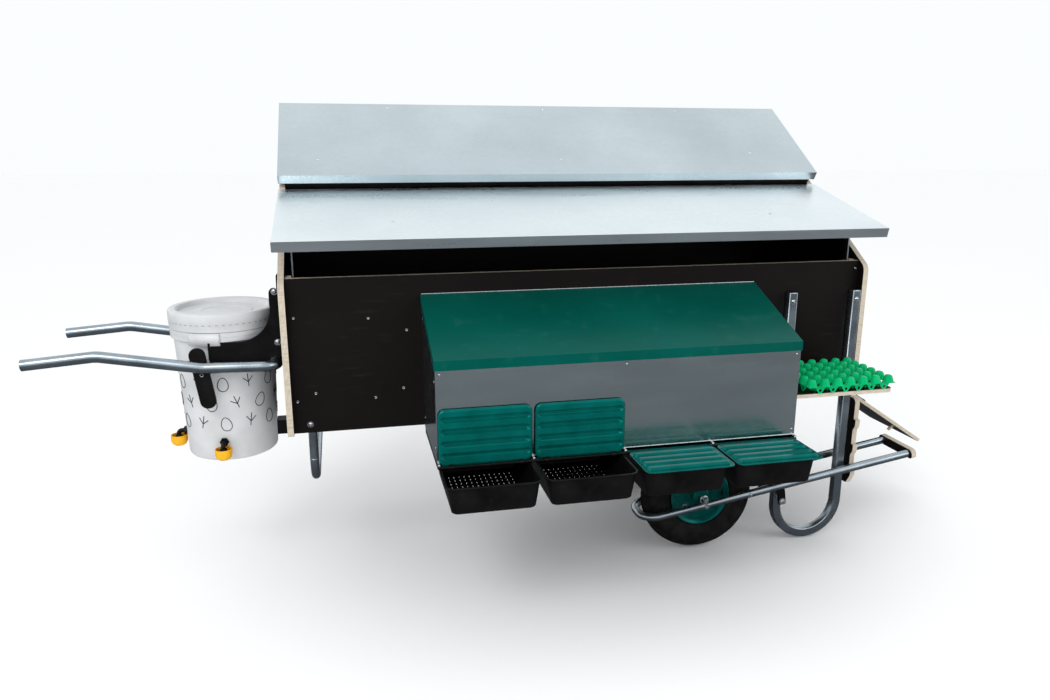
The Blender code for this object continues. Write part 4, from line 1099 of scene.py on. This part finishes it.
def bucket_cover():
    """Press-on lid with its dashed tear line, and the tear tab on the bucket."""
    skirt = BUCKET_COLLAR + 0.029
    cover = [(0.0, 0.3555), (0.06, 0.3555), (0.062, 0.357), (0.086, 0.357), (0.088, 0.355), (0.122, 0.355),
             (0.128, 0.357), (0.1335, 0.368), (0.136, 0.3702), (0.14, 0.371), (0.151, 0.371),
             (0.155, 0.369), (0.157, 0.365), (0.157, 0.34), (0.1562, 0.3385), (0.1562, skirt + 0.001),
             (0.1555, skirt), (0.1492, skirt), (0.1492, 0.3456), (0.0, 0.3456)]
    turned("bucket_lid_moulding", cover, WHITE_PLASTIC, "bucket_lid", BUCKET, ["bucket_lid"], 112,
           smooth=30.0)
    dashes, count = bmesh.new(), 52
    for index in range(count):
        spin = Matrix.Rotation(2 * pi * index / count, 4, "Z")
        dash = add_box(dashes, (0.001, 0.0065, 0.0012), (0.1562, 0.0, 0.339))
        bmesh.ops.transform(dashes, matrix=spin, verts=dash)
    from_bmesh("bucket_lid_tear_line", dashes, INK, "bucket_lid", BUCKET)
    start, sweep, steps = radians(-122), radians(34), 16
    radius, lower_z, upper_z = 0.1578, 0.28, 0.316
    tab = bmesh.new()
    for step in range(steps):
        first, second = start + sweep * step / steps, start + sweep * (step + 1) / steps
        corners = [(first, lower_z), (second, lower_z), (second, upper_z), (first, upper_z)]
        tab.faces.new([tab.verts.new((radius * cos(a), radius * sin(a), z)) for a, z in corners])
    weld(tab)
    thicken(from_bmesh("bucket_tear_tab", tab, WHITE_PLASTIC, "bucket", BUCKET), 0.0026, 0.0)


def bucket_marks():
    """Generic egg and footprint marks in three staggered rows round the bucket."""
    around, size, count = 12, 0.042, 0
    for row, height in enumerate((0.158, 0.096, 0.034)):
        for index in range(around):
            turn = 2 * pi * (index + 0.5 * (row % 2)) / around
            tilt = radians((index * 47 + row * 31) % 50 - 25)
            count += 1
            if (index + row) % 2:
                path = egg_mark(turn, height, size, tilt)
                tube(f"egg_mark_{count}", path, 0.0011, INK, "bucket", BUCKET, closed=True)
                continue
            for toe, path in enumerate(foot_mark(turn, height, size, tilt)):
                tube(f"foot_mark_{count}_{toe + 1}", path, 0.0012, INK, "bucket", BUCKET)


def drinker(label):
    """A screwed-in valve and the cup that hangs from it."""
    cup_name, valve_name = "drinker_cup_" + label, "drinker_valve_" + label
    cup_at = BUCKET.inverted() @ centre(cup_name)
    out = Vector((cup_at.x, cup_at.y, 0.0)).normalized()
    height, radial = cup_at.z - 0.0015, hypot(cup_at.x, cup_at.y)
    start = out * (radial - 0.0255) + Vector((0, 0, 0.032 + height))
    corner = out * radial + Vector((0, 0, 0.032 + height))
    foot = out * radial + Vector((0, 0, height + 0.006))
    tube(valve_name + "_stem", bent_path([start, corner, foot], [0.01], 10), 0.0068, BLACK_PLASTIC, "bucket",
         BUCKET, [valve_name])
    bm = bmesh.new()
    nut = [(0.0, 0.0045), (0.0125, 0.0045), (0.0135, 0.003), (0.0135, -0.003), (0.0, -0.003)]
    lathe(bm, nut, facing(start + out * 0.004, out), 6)
    collar = [(0.0, 0.003), (0.01, 0.003), (0.011, 0.0015), (0.011, -0.003), (0.0, -0.003)]
    lathe(bm, collar, facing(foot + Vector((0, 0, 0.01)), UP), 28)
    from_bmesh(valve_name + "_nuts", bm, BLACK_PLASTIC, "bucket", BUCKET, smooth=30.0)
    outside = [(0.0215, 0.018), (0.0225, 0.019), (0.024, 0.0188), (0.0245, 0.0175), (0.0245, 0.004),
               (0.0238, -0.002), (0.0205, -0.009), (0.015, -0.0135), (0.008, -0.0158), (0.0, -0.016)]
    inside = [(0.0, -0.0138), (0.007, -0.0136), (0.0135, -0.0115), (0.0185, -0.007), (0.0215, -0.001),
              (0.0218, 0.004), (0.0215, 0.018)]
    bm = bmesh.new()
    lathe(bm, outside, None, 56)
    lathe(bm, inside, None, 56)
    weld(bm)
    place = BUCKET @ Matrix.Translation(out * radial + Vector((0, 0, height)))
    from_bmesh(cup_name + "_bowl", bm, YELLOW_PLASTIC, "bucket", place, [cup_name], 40.0)


def left_end():
    """Handle, bucket plates, toggles, stop, bucket and drinkers."""
    handle()
    for make in (bucket_plate, toggle):
        make("near", -1.0)
        make("far", 1.0)
    paint(BLACK_PLASTIC, "bucket_stop", rounding=0.002)
    bucket_shell()
    bucket_cover()
    bucket_marks()
    drinker("front")
    drinker("side")


house()
roof()
nest_box()
trays()
egg_tray()
leg_loop("leg_loop_front", -1.0)
leg_loop("leg_loop_rear", 1.0)
rack("height_rack_front", 0.042, 1.0)
rack("height_rack_rear", DEPTH - 0.042, -1.0)
wheel_unit("front", 1.0, 0.497)
wheel_unit("rear", -1.0, 0.405)
left_leg()
climbing_ramp()
left_end()


# ---- floor, light and camera ----
def studio():
    """Plain pale floor, painted dark grey where it is seen in reflections, and soft studio light."""
    mat = material("pale_floor_dark_in_reflections", 0.9)
    tone = noise(mat, 0.6, 2.0)
    pale = blend(mat, tone, (0.98, 0.98, 0.98), (0.995, 0.995, 0.995))
    # Glossy rays see the floor dark grey while the camera sees it pale: painted dark reflections on the shiny
    # parts.
    mirrored = node(mat, "LightPath").outputs["Is Glossy Ray"]
    wear(mat, blend(mat, mirrored, pale, (0.11, 0.115, 0.125)), ramp(mat, tone, 0.0, 1.0, 0.85, 0.95))
    bm = bmesh.new()
    bmesh.ops.create_grid(bm, x_segments=1, y_segments=1, size=40.0)
    mesh = bpy.data.meshes.new("floor")
    bm.to_mesh(mesh)
    bm.free()
    mesh.materials.append(mat)
    floor = bpy.data.objects.new("floor", mesh)
    floor.location = (0.0, 0.0, CAD_BOX[0][2] - 0.001)
    bpy.context.scene.collection.objects.link(floor)

    world = bpy.data.worlds.new("studio")
    world.use_nodes = True
    world.node_tree.nodes["Background"].inputs["Color"].default_value = (0.965, 0.985, 1.0, 1.0)
    world.node_tree.nodes["Background"].inputs["Strength"].default_value = 1.0
    bpy.context.scene.world = world
    bpy.context.scene.view_settings.view_transform = "Standard"
    aim = Vector((0.0, 0.0, 0.7))
    for name, where, size, power in (("key", (-2.6, -3.4, 4.2), 2.2, 85.0),
                                     ("fill", (3.8, -3.0, 2.6), 2.0, 25.0)):
        lamp = bpy.data.lights.new(name, "AREA")
        lamp.size = size
        lamp.energy = power
        holder = bpy.data.objects.new(name, lamp)
        holder.location = where
        holder.rotation_euler = (aim - Vector(where)).to_track_quat("-Z", "Y").to_euler()
        bpy.context.scene.collection.objects.link(holder)


def camera():
    """The camera stands in front of the left half of the house, at head height above its floor."""
    lens = bpy.data.cameras.new("camera")
    lens.lens = 28.06
    lens.sensor_width = 36.0
    holder = bpy.data.objects.new("camera", lens)
    holder.location = at(0.1618, -2.3935, 0.8433)
    holder.rotation_euler = (radians(90.0 - 14.04), radians(-0.09), radians(-12.73))
    bpy.context.scene.collection.objects.link(holder)
    bpy.context.scene.camera = holder


studio()
camera()
